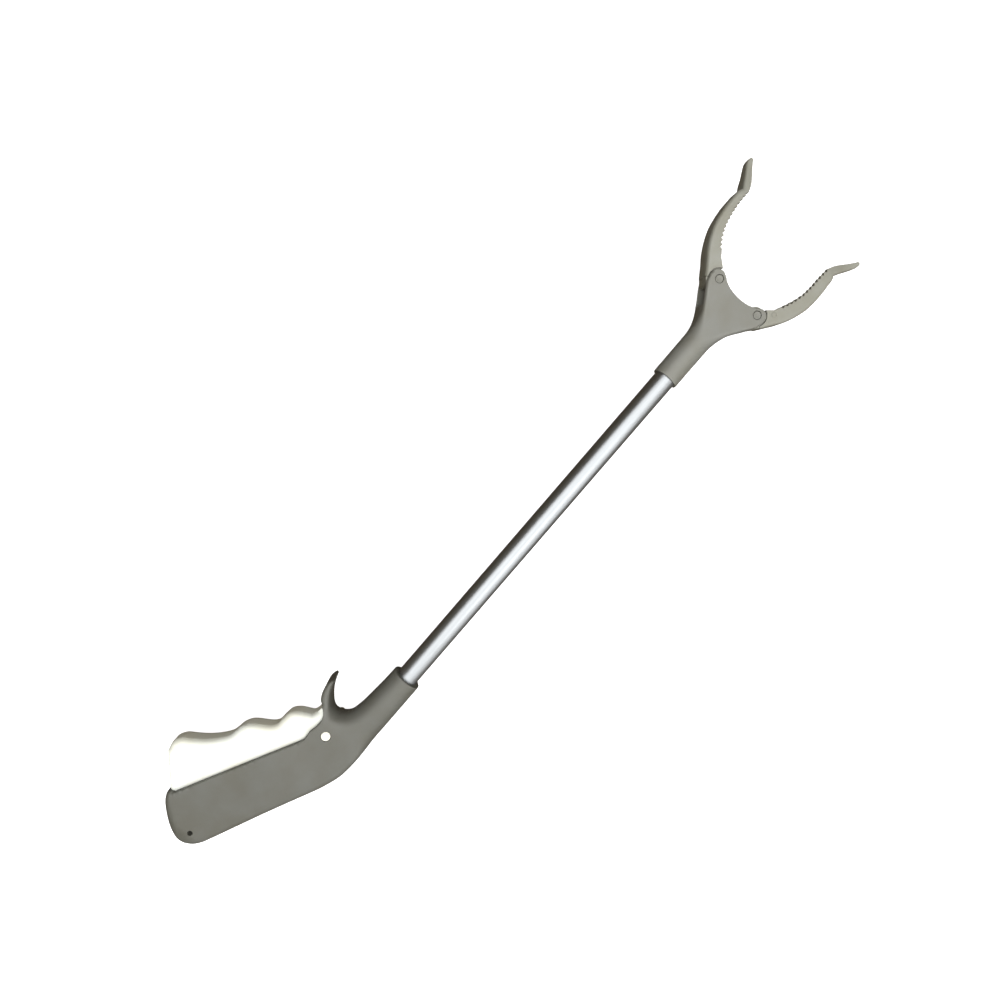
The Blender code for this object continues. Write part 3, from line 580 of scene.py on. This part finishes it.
def bar(low, high, radius, centre=(0.0, 0.0), count=48, axis="Z"):
    """A round solid between two heights, or along the tube's axis."""
    return turned("bar", [(low, 0), (low, radius), (high, radius), (high, 0)], axis, centre, count)


def flip(mesh, axis):
    """Mirror a mesh across a plane through the design's origin."""
    mesh.transform(Matrix.Translation(ORIGIN) @ Matrix.Scale(-1, 4, axis) @ Matrix.Translation(-ORIGIN))
    mesh.flip_normals()


def reflected(name, source, axis):
    """A mirror-image copy of a piece."""
    mesh = source.data.copy()
    flip(mesh, axis)
    return piece(name, mesh)


def shade(made, angle=32.0):
    """Smooth shading that stays sharp where two faces meet at more than an angle."""
    made.data.shade_smooth()
    made.data.set_sharp_from_angle(angle=math.radians(angle))
    return made


# ---------------------------------------------------------------- materials

class Nodes:
    """A small helper that builds one material's node tree."""

    def __init__(self, name):
        self.material = bpy.data.materials.new(name)
        self.material.use_nodes = True
        self.tree = self.material.node_tree
        self.shader = self.tree.nodes["Principled BSDF"]
        self.place = self.add("ShaderNodeTexCoord").outputs["Object"]

    def add(self, kind, **settings):
        node = self.tree.nodes.new(kind)
        for key, value in settings.items():
            setattr(node, key, value)
        return node

    def link(self, source, target):
        self.tree.links.new(source, target)

    def stretched(self, scale):
        """The object's own coordinates with a scale for each axis."""
        node = self.add("ShaderNodeMapping")
        node.inputs["Scale"].default_value = scale
        self.link(self.place, node.inputs["Vector"])
        return node.outputs["Vector"]

    def noise(self, scale, detail=3.0, vector=None, roughness=0.5):
        node = self.add("ShaderNodeTexNoise")
        node.inputs["Scale"].default_value = scale
        node.inputs["Detail"].default_value = detail
        node.inputs["Roughness"].default_value = roughness
        self.link(vector or self.place, node.inputs["Vector"])
        return node.outputs["Fac"]

    def span(self, value, low, high, out_low, out_high):
        """Map a value from one range to another."""
        node = self.add("ShaderNodeMapRange")
        numbers = {"From Min": low, "From Max": high, "To Min": out_low, "To Max": out_high}
        for key, number in numbers.items():
            node.inputs[key].default_value = number
        self.link(value, node.inputs["Value"])
        return node.outputs["Result"]

    def math(self, operation, a, b):
        node = self.add("ShaderNodeMath", operation=operation)
        for socket, value in zip(node.inputs, (a, b)):
            if isinstance(value, (int, float)):
                socket.default_value = value
            else:
                self.link(value, socket)
        return node.outputs["Value"]

    def blend(self, factor, first, second):
        """Mix two colours; each is a colour or a socket."""
        node = self.add("ShaderNodeMix", data_type="RGBA")
        self.link(factor, node.inputs[0])
        for socket, value in ((node.inputs[6], first), (node.inputs[7], second)):
            if isinstance(value, tuple):
                socket.default_value = (*value, 1)
            else:
                self.link(value, socket)
        return node.outputs[2]

    def bump(self, height, strength, millimetres, below=None):
        node = self.add("ShaderNodeBump")
        node.inputs["Strength"].default_value = strength
        node.inputs["Distance"].default_value = millimetres * MM
        self.link(height, node.inputs["Height"])
        if below is not None:
            self.link(below, node.inputs["Normal"])
        return node.outputs["Normal"]

    def set(self, **values):
        for key, value in values.items():
            self.shader.inputs[key.replace("_", " ")].default_value = value


def moulded(name, colour, spread=0.06, roughness=0.5, grain=0.25, grain_height=0.02):
    """Satin moulded plastic: fine spark-eroded grain, faint flow mottling and handling dirt."""
    yellowed = (1.0, 0.97, 0.90)
    dull, dirty = 0.72, 0.82
    n = Nodes(name)
    light = tuple(min(c * (1 + spread), 1.0) for c in colour)
    dark = tuple(c * (1 - spread) * t for c, t in zip(colour, yellowed))
    cloud = n.span(n.noise(45.0, 4.0), 0.35, 0.65, 0.0, 1.0)
    base = n.blend(cloud, dark, light)
    speck = n.span(n.noise(1600.0, 2.0), 0.62, 0.74, 0.0, 0.35)
    base = n.blend(speck, base, tuple(c * dull for c in colour))
    grime = n.span(n.noise(14.0, 5.0, roughness=0.6), 0.52, 0.78, 0.0, 0.30)
    base = n.blend(grime, base, tuple(c * dirty * t for c, t in zip(colour, yellowed)))
    n.link(base, n.shader.inputs["Base Color"])
    worn = n.math("ADD", n.span(n.noise(30.0, 5.0), 0.3, 0.7, -0.07, 0.07), roughness)
    n.link(worn, n.shader.inputs["Roughness"])
    grain_noise = n.noise(1.0 / (grain * MM), 2.0)
    waviness = n.noise(60.0, 2.0)
    under = n.bump(waviness, 0.35, 0.12)
    n.link(n.bump(grain_noise, 0.6, grain_height, under), n.shader.inputs["Normal"])
    n.set(IOR=1.49)
    return n.material


def drawn_metal(name, colour, roughness, stretch=(3.0, 420.0, 420.0), line_height=0.006):
    """Metal with fine lines along one direction and faint cloudy oxide."""
    clouded, lined = 0.93, 0.80
    n = Nodes(name)
    lines = n.noise(1.0, 3.0, n.stretched(stretch))
    cloud = n.noise(35.0, 4.0)
    base = n.blend(n.span(cloud, 0.3, 0.7, 0.0, 1.0), colour, tuple(c * clouded for c in colour))
    base = n.blend(n.span(lines, 0.45, 0.75, 0.0, 0.22), base, tuple(c * lined for c in colour))
    n.link(base, n.shader.inputs["Base Color"])
    rough = n.math("ADD", n.span(lines, 0.3, 0.7, -0.05, 0.06), roughness)
    n.link(rough, n.shader.inputs["Roughness"])
    n.link(n.bump(lines, 0.5, line_height), n.shader.inputs["Normal"])
    n.set(Metallic=1.0)
    return n.material


GREY = moulded("grey_moulding", (0.0915, 0.0935, 0.0830), grain=0.3)
LIGHT_GREY = moulded("light_grey_moulding", (0.152, 0.155, 0.141), grain=0.25)
JAW_GREY = moulded("jaw_moulding", (0.204, 0.207, 0.182), grain=0.25)
WHITE = moulded("white_moulding", (0.70, 0.73, 0.69), 0.02, 0.36, grain=0.35, grain_height=0.008)
WHITE_PIN = moulded("white_pin", (0.80, 0.80, 0.74), 0.03, 0.4, grain=0.3, grain_height=0.01)
ACETAL = moulded("natural_acetal", (0.75, 0.74, 0.70), 0.04, 0.42, grain=0.4, grain_height=0.01)
ALUMINIUM = drawn_metal("satin_aluminium", (0.35, 0.368, 0.385), 0.41)
STEEL = drawn_metal("bright_steel", (0.58, 0.57, 0.56), 0.28)
ZINC = drawn_metal("zinc_plated_steel", (0.66, 0.64, 0.58), 0.34, (200.0, 200.0, 200.0), 0.004)


def dress(made, material, body, slot, *nodes):
    """Give a piece its look, hide the nodes it stands for and attach it to the body it rides on. The slot
    argument is not used.
    """
    made.data.materials.clear()
    made.data.materials.append(material)
    if nodes:
        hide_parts(*nodes)
    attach(made, body)
    return made


# ---------------------------------------------------------------- handle

HOOK_CURVE = spline(HOOK_INNER, 0.9)
HOOK_BACK = spline([HOOK_INNER[-1], *HOOK_OUTER], 0.7)
RIM_CURVE = spline(RIM_ROOT, 0.9) + straight(RIM_EDGE, 2.0)
BACK_CURVE = spline(BACK_SIDE, 1.2)
MOUTH_LINE = straight([(SLEEVE_MOUTH, -SLEEVE_R), (SLEEVE_MOUTH, SLEEVE_R)], 1.2)
HANDLE_OUTLINE = joined(HOOK_CURVE, HOOK_BACK, RIM_CURVE, BACK_CURVE, MOUTH_LINE)


def handle_soft(p):
    """Half thickness and edge radius: a round sleeve, a flat grip, a slim horn and a soft butt."""
    flat = smooth((GRIP_START - p[:, 0]) / GRIP_SPAN)
    half = SLEEVE_R + (HANDLE_HALF - SLEEVE_R) * flat
    soft = edge_radius(half, SLEEVE_UPRIGHT, GRIP_EDGE_R, flat)
    along = BUTT_AXIS[1] * p[:, 1] + BUTT_AXIS[0] * p[:, 0]
    soft += (BUTT_EDGE_R - GRIP_EDGE_R) * smooth((along - BUTT_START) / BUTT_SPAN)
    soft += (HORN_EDGE_R - soft) * smooth((p[:, 1] - HORN_START) / HORN_SPAN) * (1 - flat)
    return half, soft


def handle_edge(p):
    """Distance to the soft part of the handle's outline, which is all of it but the rim and the mouth."""
    return np.minimum(distance(p, HOOK_CURVE), np.minimum(distance(p, HOOK_BACK), distance(p, BACK_CURVE)))


def handle_radius(points):
    p = np.asarray(points, dtype=float)
    _, soft = handle_soft(p)
    return np.where(distance(p, RIM_CURVE) < handle_edge(p), RIM_R, soft)


def handle_height(points):
    """Half thickness of the handle: a round sleeve that flattens into the grip."""
    p = np.asarray(points, dtype=float)
    half, soft = handle_soft(p)
    height = rounded(handle_edge(p), half, soft)
    rim = dropped(distance(p, RIM_CURVE), RIM_R)
    mouth = lip(SLEEVE_MOUTH - p[:, 0], LIP_REACH, SLEEVE_LIP)
    return np.maximum(height - rim - mouth, SPLIT + SPLIT_EDGE)


def handle_half(name, side):
    """One shell of the grip: side is 1 for the front and -1 for the back, which takes the screws."""
    holes = [circle(PIVOT, PIVOT_R + GAP, count=56), circle(BUTT_HOLE, BUTT_HOLE_R, count=40)]
    half = plate(name, HANDLE_OUTLINE, handle_height, handle_radius, 3.0, low=SPLIT, holes=holes)
    cavity = CAVITY + circle(PIVOT, TRIGGER_SWEEP_R, *TRIGGER_SWEEP, 10) + [CAVITY_CORNER]
    cut(half, prism("cavity", cavity, -1.0, HANDLE_HALF - GRIP_WALL))
    cut(half, bar(TUBE_REAR - GAP, BORE_PAST, TUBE_R + TUBE_SEAT, count=96, axis="X"))
    if side < 0:
        for place in SCREWS:
            cut(half, bar(SCREW_SEAT, HANDLE_HALF + 2, SCREW_SEAT_R, place, 40))
        flip(half.data, (0, 0, 1))
    return shade(half)


# ---------------------------------------------------------------- trigger

FINGER_CURVE = spline(FINGER_SIDE, 0.8)
FRONT_END = straight([TRIGGER_REAR[-1], FINGER_SIDE[0]], 1.2)


def trigger_radius(points):
    p = np.asarray(points, dtype=float)
    finger, end = distance(p, FINGER_CURVE), distance(p, FRONT_END)
    elsewhere = np.where(end < TRIGGER_END_REACH, TRIGGER_END_R, 0.0)
    return np.where(finger < TRIGGER_EDGE_R, TRIGGER_EDGE_R, elsewhere)


def trigger_height(points):
    """Half thickness of the trigger: its finger side is fully rounded."""
    p = np.asarray(points, dtype=float)
    height = rounded(distance(p, FINGER_CURVE), TRIGGER_HALF, TRIGGER_EDGE_R)
    end = rounded(distance(p, FRONT_END), TRIGGER_HALF, TRIGGER_END_R)
    return np.minimum(height, end)


def trigger_arm():
    """The arm inside the handle that pushes the rod, before its slot is cut."""
    end = circle((LINK_X, 0.0), ARM_END_R, *ARM_END_ARC, 12)
    return prism("arm", ARM_FRONT + end + ARM_BACK, -ARM_HALF, ARM_HALF)


def make_trigger():
    """The finger lever, with a pocket open to the handle and its slotted arm."""
    boss = circle(PIVOT, BOSS_R, *BOSS_ARC, 24)
    root = straight([FINGER_SIDE[-1], *TRIGGER_ROOT], 1.5)
    outline = joined(FINGER_CURVE, root, boss, straight(TRIGGER_REAR, 2.5), FRONT_END[:-1])
    hole = circle(PIVOT, PIVOT_R + GAP, count=56)
    lever = plate("trigger_lever", outline, trigger_height, trigger_radius, 3.0, holes=[hole])
    cut(lever, prism("pocket", TRIGGER_POCKET, -TRIGGER_POCKET_HALF, TRIGGER_POCKET_HALF))
    hidden = RIM_ROOT + RIM_EDGE[1:] + INSIDE_HANDLE
    for low, high in ((TRIGGER_SHOULDER, 10.0), (-10.0, -TRIGGER_SHOULDER)):
        cut(lever, prism("shoulder", hidden, low, high))
    join(lever, trigger_arm())
    slot = circle((LINK_X, -LINK_SLIDE), LINK_R + GAP, 0, -180, 12)
    slot += circle((LINK_X, LINK_SLIDE), LINK_R + GAP, 180, 0, 12)
    cut(lever, prism("slot", slot, -ARM_HALF - 1, ARM_HALF + 1))
    return shade(lever)


def make_pivot_pin():
    """White pin with a bevelled rim and the small dimple that its moulding gate leaves."""
    top, bottom = HANDLE_HALF, PIVOT_FOOT - HANDLE_HALF
    profile = [(bottom, 0), (bottom, PIVOT_R - PIVOT_FOOT), (bottom + PIVOT_FOOT, PIVOT_R)]
    profile += [(top - down, PIVOT_R - inward) for down, inward in PIVOT_RIM]
    profile += [(top - down, radius) for down, radius in PIVOT_DIMPLE]
    return shade(turned("trigger_pin_white", profile, "Z", PIVOT, 72))


# ---------------------------------------------------------------- head and jaws

NECK_CURVE = spline(NECK_SIDE, 1.0)
EAR_SIDE = circle(EAR, EAR_R, *EAR_SIDE_ARC, 12)
EAR_FRONT = circle(EAR, EAR_R, *EAR_FRONT_ARC, 24)
LOWER_EAR_FRONT = mirrored(EAR_FRONT)
ARC_CURVE = spline([EAR_FRONT[-1], *FRONT_ARC, *mirrored(FRONT_ARC[:-1]), LOWER_EAR_FRONT[0]], 0.8)
HEAD_UPPER = joined(NECK_CURVE, EAR_SIDE)
HEAD_LOWER = mirrored(HEAD_UPPER)
NECK_END = straight([(HEAD_MOUTH, -NECK_R), (HEAD_MOUTH, NECK_R)], 1.2)
HEAD_OUTLINE = joined(HEAD_UPPER, EAR_FRONT, ARC_CURVE, LOWER_EAR_FRONT, HEAD_LOWER, NECK_END)
FRONT_SIDE = EAR_FRONT + ARC_CURVE + LOWER_EAR_FRONT


def head_soft(p):
    """Half thickness and edge radius: a round neck that spreads into the flat fork."""
    flat = smooth((p[:, 0] - FORK_START) / FORK_SPAN)
    half = NECK_R + (HEAD_HALF - NECK_R) * flat
    return half, edge_radius(half, HEAD_UPRIGHT, HEAD_EDGE_R, flat)


def head_radius(points):
    p = np.asarray(points, dtype=float)
    _, soft = head_soft(p)
    side = np.minimum(distance(p, HEAD_UPPER), distance(p, HEAD_LOWER))
    return np.where(distance(p, FRONT_SIDE) < side, FRONT_R, soft)


def head_height(points):
    p = np.asarray(points, dtype=float)
    half, soft = head_soft(p)
    side = np.minimum(distance(p, HEAD_UPPER), distance(p, HEAD_LOWER))
    height = rounded(side, half, soft)
    front = dropped(distance(p, FRONT_SIDE), FRONT_R)
    mouth = lip(p[:, 0] - HEAD_MOUTH, LIP_REACH, HEAD_LIP)
    return np.maximum(height - front - mouth, HEAD_LEAST)


def make_head():
    """The neck and fork, bored for the tube and the rod and slotted for the jaws' roots."""
    head = plate("forked_head", HEAD_OUTLINE, head_height, head_radius, 2.6)
    cut(head, bar(HEAD_MOUTH - 2, TUBE_FRONT + GAP, TUBE_R + TUBE_SEAT, count=96, axis="X"))
    cut(head, bar(TUBE_FRONT, SLOT[1][0], PASSAGE_R, count=40, axis="X"))
    cut(head, prism("slot", SLOT + mirrored(SLOT[:-1]), -SLOT_HALF, SLOT_HALF))
    for side in (1, -1):
        centre = (JAW_PIVOT[0], side * JAW_PIVOT[1])
        cut(head, bar(HEAD_HALF - RIVET_HEAD - GAP, 12, RIVET_HEAD_R + RIVET_ROOM, centre, 56))
        cut(head, bar(-12, 12, RIVET_R + GAP, centre, 40))
    return shade(head)


def make_jaw_pin(name, side):
    """Riveted pin: its head sits flush in the ear, with a bevel and a shallow dished middle."""
    top, under, low = HEAD_HALF, HEAD_HALF - RIVET_HEAD, RIVET_FOOT - HEAD_HALF
    profile = [(low, 0), (low, RIVET_R), (under, RIVET_R), (under, RIVET_HEAD_R)]
    profile += [(top - down, RIVET_HEAD_R - inward) for down, inward in RIVET_RIM]
    profile.append((top - RIVET_DISH, 0))
    return shade(turned(name, profile, "Z", (JAW_PIVOT[0], side * JAW_PIVOT[1]), 64))


def toothed(line):
    """A saw-tooth edge along a line, with slightly blunt tips, cut into the jaw."""
    lengths = [0.0]
    for a, b in zip(line, line[1:]):
        lengths.append(lengths[-1] + math.dist(a, b))
    count = round(lengths[-1] / TOOTH_PITCH)
    edge = []
    for i in range(count):
        for part, depth in TOOTH_SHAPE:
            along = lengths[-1] * (i + part) / count
            k = max(j for j in range(len(line) - 1) if lengths[j] <= along)
            a, b = line[k], line[k + 1]
            t = (along - lengths[k]) / (lengths[k + 1] - lengths[k])
            normal = (-(a[1] - b[1]) / math.dist(a, b), (a[0] - b[0]) / math.dist(a, b))
            x, y = a[0] + (b[0] - a[0]) * t, a[1] + (b[1] - a[1]) * t
            edge.append((x + normal[0] * depth * TOOTH_DEPTH, y + normal[1] * depth * TOOTH_DEPTH))
    return edge + [line[-1]]


JAW_SIDE = joined(spline(JAW_OUTER, 0.8), spline(BEAK_OUTER, 0.7))


def jaw_soft(p):
    """Half thickness and edge radius, which both shrink towards the beak's tip."""
    half = JAW_HALF - BEAK_LOSS * smooth((p[:, 0] - BEAK_START) / BEAK_SPAN)
    return half, JAW_EDGE_R - BEAK_EDGE_LOSS * smooth((p[:, 0] - BEAK_EDGE_START) / BEAK_EDGE_SPAN)


def jaw_radius(points):
    p = np.asarray(points, dtype=float)
    _, soft = jaw_soft(p)
    return np.where(distance(p, JAW_SIDE) < JAW_EDGE_REACH, soft, 0.0)


def widened(points, extra):
    """The inner edge moved towards the other jaw between the root and the beak."""
    result = []
    for x, y in points:
        begun, ended = smooth((x - WIDE_START) / WIDE_SPAN), smooth((x - WIDE_END) / WIDE_END_SPAN)
        weight = float(begun * (1 - ended))
        result.append((x - WIDE_LEAN * extra * weight, y - extra * weight))
    return result


def jaw_faces(inner_side):
    """The flat upper face, and the lower face that rises towards the teeth and leaves a thin web."""
    def top(points):
        p = np.asarray(points, dtype=float)
        half, soft = jaw_soft(p)
        inward = np.clip(distance(p, inner_side) / TOOTH_BEVEL_REACH, 0, 1)
        bevel = TOOTH_BEVEL * (1 - inward) ** 2
        return rounded(distance(p, JAW_SIDE), half, soft) - bevel

    def underside(points):
        p = np.asarray(points, dtype=float)
        half, soft = jaw_soft(p)
        outer = rounded(distance(p, JAW_SIDE), half, soft)
        flank = JAW_WEB - half + JAW_TAPER * distance(p, inner_side)
        flank += ROOT_DEPTH * smooth((ROOT_START - p[:, 0]) / ROOT_SPAN)
        return -(outer - np.log1p(np.exp((outer - flank) / JAW_SOFTNESS)) * JAW_SOFTNESS)

    return top, underside


def jaw_tail():
    """The short arm behind the pivot that the spreader pushes, with its post for the spring."""
    run, rise = TAIL_LENGTH * math.cos(TAIL_ANGLE), TAIL_LENGTH * math.sin(TAIL_ANGLE)
    nose = (JAW_PIVOT[0] + run, JAW_PIVOT[1] + rise)
    across = math.degrees(TAIL_ANGLE) - 90
    outline = circle(nose, NOSE_R, across, across + 180, 17)
    outline += circle(JAW_PIVOT, NOSE_R, across + 180, across + 360, 2)
    tail = prism("tail", outline, TAIL_FOOT - TAIL_HALF, TAIL_TOP)
    return join(tail, bar(TAIL_TOP - 1, TAIL_HALF - POST_DROP, POST_R, nose, 24))


def make_jaw(name, extra):
    """A jaw as it lies in the upper ear: serrated beak, and a thinner root that fills the slot."""
    root = circle(JAW_PIVOT, JAW_ROOT_R, *JAW_ROOT_ARC, 24)
    beak_inner, teeth = widened(BEAK_INNER, extra), widened(TOOTH_LINE, extra)
    beak = spline([BEAK_OUTER[-1], *beak_inner], 0.7)
    outline = joined(JAW_SIDE, beak[:-1], toothed(teeth), widened(JAW_THROAT, extra), root)
    top, underside = jaw_faces(beak_inner + teeth)
    body = plate(name, outline, top, jaw_radius, 2.4, low=underside)
    join(body, prism("link", TONGUE_LINK, -ROOT_HALF, ROOT_HALF))
    heel, hub = spline(HEEL + HEEL[:1], 1.2)[:-1], circle(JAW_PIVOT, HUB_R, count=56)
    join(body, prism("heel", heel, -ROOT_HALF + HEEL_DROP, ROOT_HALF - HEEL_DROP))
    join(body, prism("hub", hub, -ROOT_HALF + HUB_DROP, ROOT_HALF - HUB_DROP))
    join(body, jaw_tail())
    cut(body, bar(-9, 9, RIVET_R + GAP, JAW_PIVOT, 40))
    return body


def moulding_mark(jaw):
    """The round mark that an ejector pin leaves on a jaw's face."""
    low, high = JAW_HALF - JAW_MARK_DEPTH, JAW_HALF + 1.0
    inner, outer = JAW_MARK_R - JAW_MARK_LINE, JAW_MARK_R + JAW_MARK_LINE
    ring = [(low, inner), (low, outer), (high, outer), (high, inner)]
    return cut(jaw, turned("mark", ring, "Z", JAW_MARK, 48))


def bent(jaw, side, angle, start, stop):
    """Turn a jaw's blade about its pivot, more and more between two distances from the pivot."""
    places = np.empty(len(jaw.data.vertices) * 3)
    jaw.data.vertices.foreach_get("co", places)
    places = places.reshape(-1, 3)
    centre = np.array(ORIGIN)[:2] + np.array((JAW_PIVOT[0], side * JAW_PIVOT[1])) * MM
    arm = places[:, :2] - centre
    reach = np.linalg.norm(arm, axis=1) / MM
    turn = angle * smooth((reach - start) / (stop - start))
    x, y = arm[:, 0].copy(), arm[:, 1].copy()
    places[:, 0] = centre[0] + x * np.cos(turn) - y * np.sin(turn)
    places[:, 1] = centre[1] + x * np.sin(turn) + y * np.cos(turn)
    jaw.data.vertices.foreach_set("co", places.ravel())
    jaw.data.update()
    return jaw


# ---------------------------------------------------------------- assembly

dress(handle_half("grip_shell_front", 1), GREY, "handle", "grey_plastic", "handle_shell_front")
dress(handle_half("grip_shell_back", -1), GREY, "handle", "grey_plastic", "handle_shell_back")
dress(make_trigger(), WHITE, "trigger", "white_plastic", "trigger")
dress(make_pivot_pin(), WHITE_PIN, "trigger", "white_plastic", "trigger_pivot_pin")

tube_inner = TUBE_R - TUBE_WALL
tube_profile = [(TUBE_REAR, tube_inner), (TUBE_REAR, TUBE_R - TUBE_CHAMFER),
                (TUBE_REAR + TUBE_CHAMFER, TUBE_R), (TUBE_FRONT - TUBE_CHAMFER, TUBE_R),
                (TUBE_FRONT, TUBE_R - TUBE_CHAMFER), (TUBE_FRONT, tube_inner)]
satin_tube = shade(turned("satin_tube", tube_profile, count=128))
dress(satin_tube, ALUMINIUM, "handle", "aluminium", "aluminium_tube")
dress(make_head(), LIGHT_GREY, "handle", "light_grey_plastic", "jaw_head")
dress(make_jaw_pin("rivet_upper", 1), LIGHT_GREY, "handle", "light_grey_plastic", "jaw_pin_upper")
dress(make_jaw_pin("rivet_lower", -1), LIGHT_GREY, "handle", "light_grey_plastic", "jaw_pin_lower")

upper_jaw = make_jaw("jaw_blade_upper", UPPER_EXTRA)
blank = make_jaw("jaw_blank", LOWER_EXTRA)
lower_jaw = moulding_mark(reflected("jaw_blade_lower", blank, (0, 1, 0)))
bpy.data.objects.remove(blank)
for bend in UPPER_BENDS:
    bent(upper_jaw, 1, *bend)
for bend in LOWER_BENDS:
    bent(lower_jaw, -1, *bend)
dress(shade(lower_jaw), JAW_GREY, "jaw_lower", "light_grey_plastic", "jaw_lower")
dress(shade(upper_jaw), JAW_GREY, "jaw_upper", "light_grey_plastic", "jaw_upper")

CARRIED = {
    "rear_rod_bush": ACETAL, "front_rod_bush": ACETAL, "rod_end": ACETAL, "spreader": ACETAL,
    "push_rod": STEEL, "rod_end_pin": STEEL, "spreader_pin": STEEL, "spring_collar": ZINC,
    "rod_return_spring": ZINC, "jaw_opening_spring": ZINC,
    "handle_screw_1": ZINC, "handle_screw_2": ZINC, "handle_screw_3": ZINC,
}
for node, material in CARRIED.items():
    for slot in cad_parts[node].material_slots:
        slot.material = material


# ---------------------------------------------------------------- studio

FLOOR_REACH = 6.0           # metres from the middle to each wall
FLOOR_Z = -0.0005
WALL_TOP = 8.0
STAGE_LOOK = {
    "Roughness": 0.9, "Base_Color": (0.50, 0.50, 0.50, 1),
    "Emission_Color": (1, 1, 1, 1), "Emission_Strength": 0.95,
}
# direction, distance and size in metres, power in watts, colour
KEY_LAMP = ((-0.05, -0.82, 0.57), 1.4, 1.4, 10.0, (1.0, 1.0, 0.985))
OVERHEAD_LAMP = ((0.0, 0.0, 1.0), 1.6, 2.9, 66.0, (1.0, 1.0, 0.99))
WORLD_COLOUR = (1.0, 0.75, 0.44, 1)
WORLD_STRENGTH = 0.095
CAMERA_AXES = (
    (0.650505, -0.756323, 0.069425), (0.758301, 0.641617, -0.115361), (0.042705, 0.127688, 0.990895),
)                           # its right, up and back
CAMERA_PLACE = (163.26, 89.42, 432.75)
SENSOR_WIDTH = 36.0
LENS = 21.6
NEAREST, FARTHEST = 0.01, 50.0


def stage():
    """A pale floor with plain walls of the same white round it, which cast no light on the object."""
    corners = [(x * FLOOR_REACH, y * FLOOR_REACH) for x, y in ((-1, -1), (1, -1), (1, 1), (-1, 1))]
    low = [(x, y, FLOOR_Z) for x, y in corners]
    high = [(x, y, WALL_TOP) for x, y in corners]
    n = Nodes("pale_floor")
    n.set(**STAGE_LOOK)
    sides = [(i + 4, (i + 1) % 4 + 4, (i + 1) % 4, i) for i in range(4)]
    for name, vertices, faces in (("floor", low, [(0, 1, 2, 3)]), ("walls", low + high, sides)):
        mesh = bpy.data.meshes.new(name)
        mesh.from_pydata(vertices, [], faces)
        mesh.materials.append(n.material)
        made = piece(name, mesh)
        made.visible_diffuse = False
        made.visible_glossy = False
        made.visible_shadow = name == "floor"


def lamp(name, direction, span, size, power, colour):
    """A round area lamp that points at the middle of the scene."""
    data = bpy.data.lights.new(name, "AREA")
    data.shape = "DISK"
    data.size = size
    data.energy = power
    data.color = colour
    made = bpy.data.objects.new(name, data)
    bpy.context.collection.objects.link(made)
    aim = Vector(direction).normalized()
    made.location = aim * span
    made.rotation_mode = "QUATERNION"
    made.rotation_quaternion = aim.to_track_quat("Z", "Y")
    return made


def camera():
    """The viewpoint is close above the tube, so the two ends lean away from it."""
    data = bpy.data.cameras.new("camera")
    data.sensor_width = SENSOR_WIDTH
    data.lens = LENS
    data.clip_start, data.clip_end = NEAREST, FARTHEST
    made = bpy.data.objects.new("camera", data)
    bpy.context.collection.objects.link(made)
    matrix = Matrix(CAMERA_AXES).transposed().to_4x4()
    matrix.translation = ORIGIN + Vector(CAMERA_PLACE) * MM
    made.matrix_world = matrix
    bpy.context.scene.camera = made


stage()
lamp("key", *KEY_LAMP)
lamp("overhead", *OVERHEAD_LAMP)
world = bpy.data.worlds.new("studio")
bpy.context.scene.world = world
world.use_nodes = True
background = world.node_tree.nodes["Background"]
background.inputs["Color"].default_value = WORLD_COLOUR
background.inputs["Strength"].default_value = WORLD_STRENGTH
bpy.context.scene.view_settings.view_transform = "Standard"
camera()
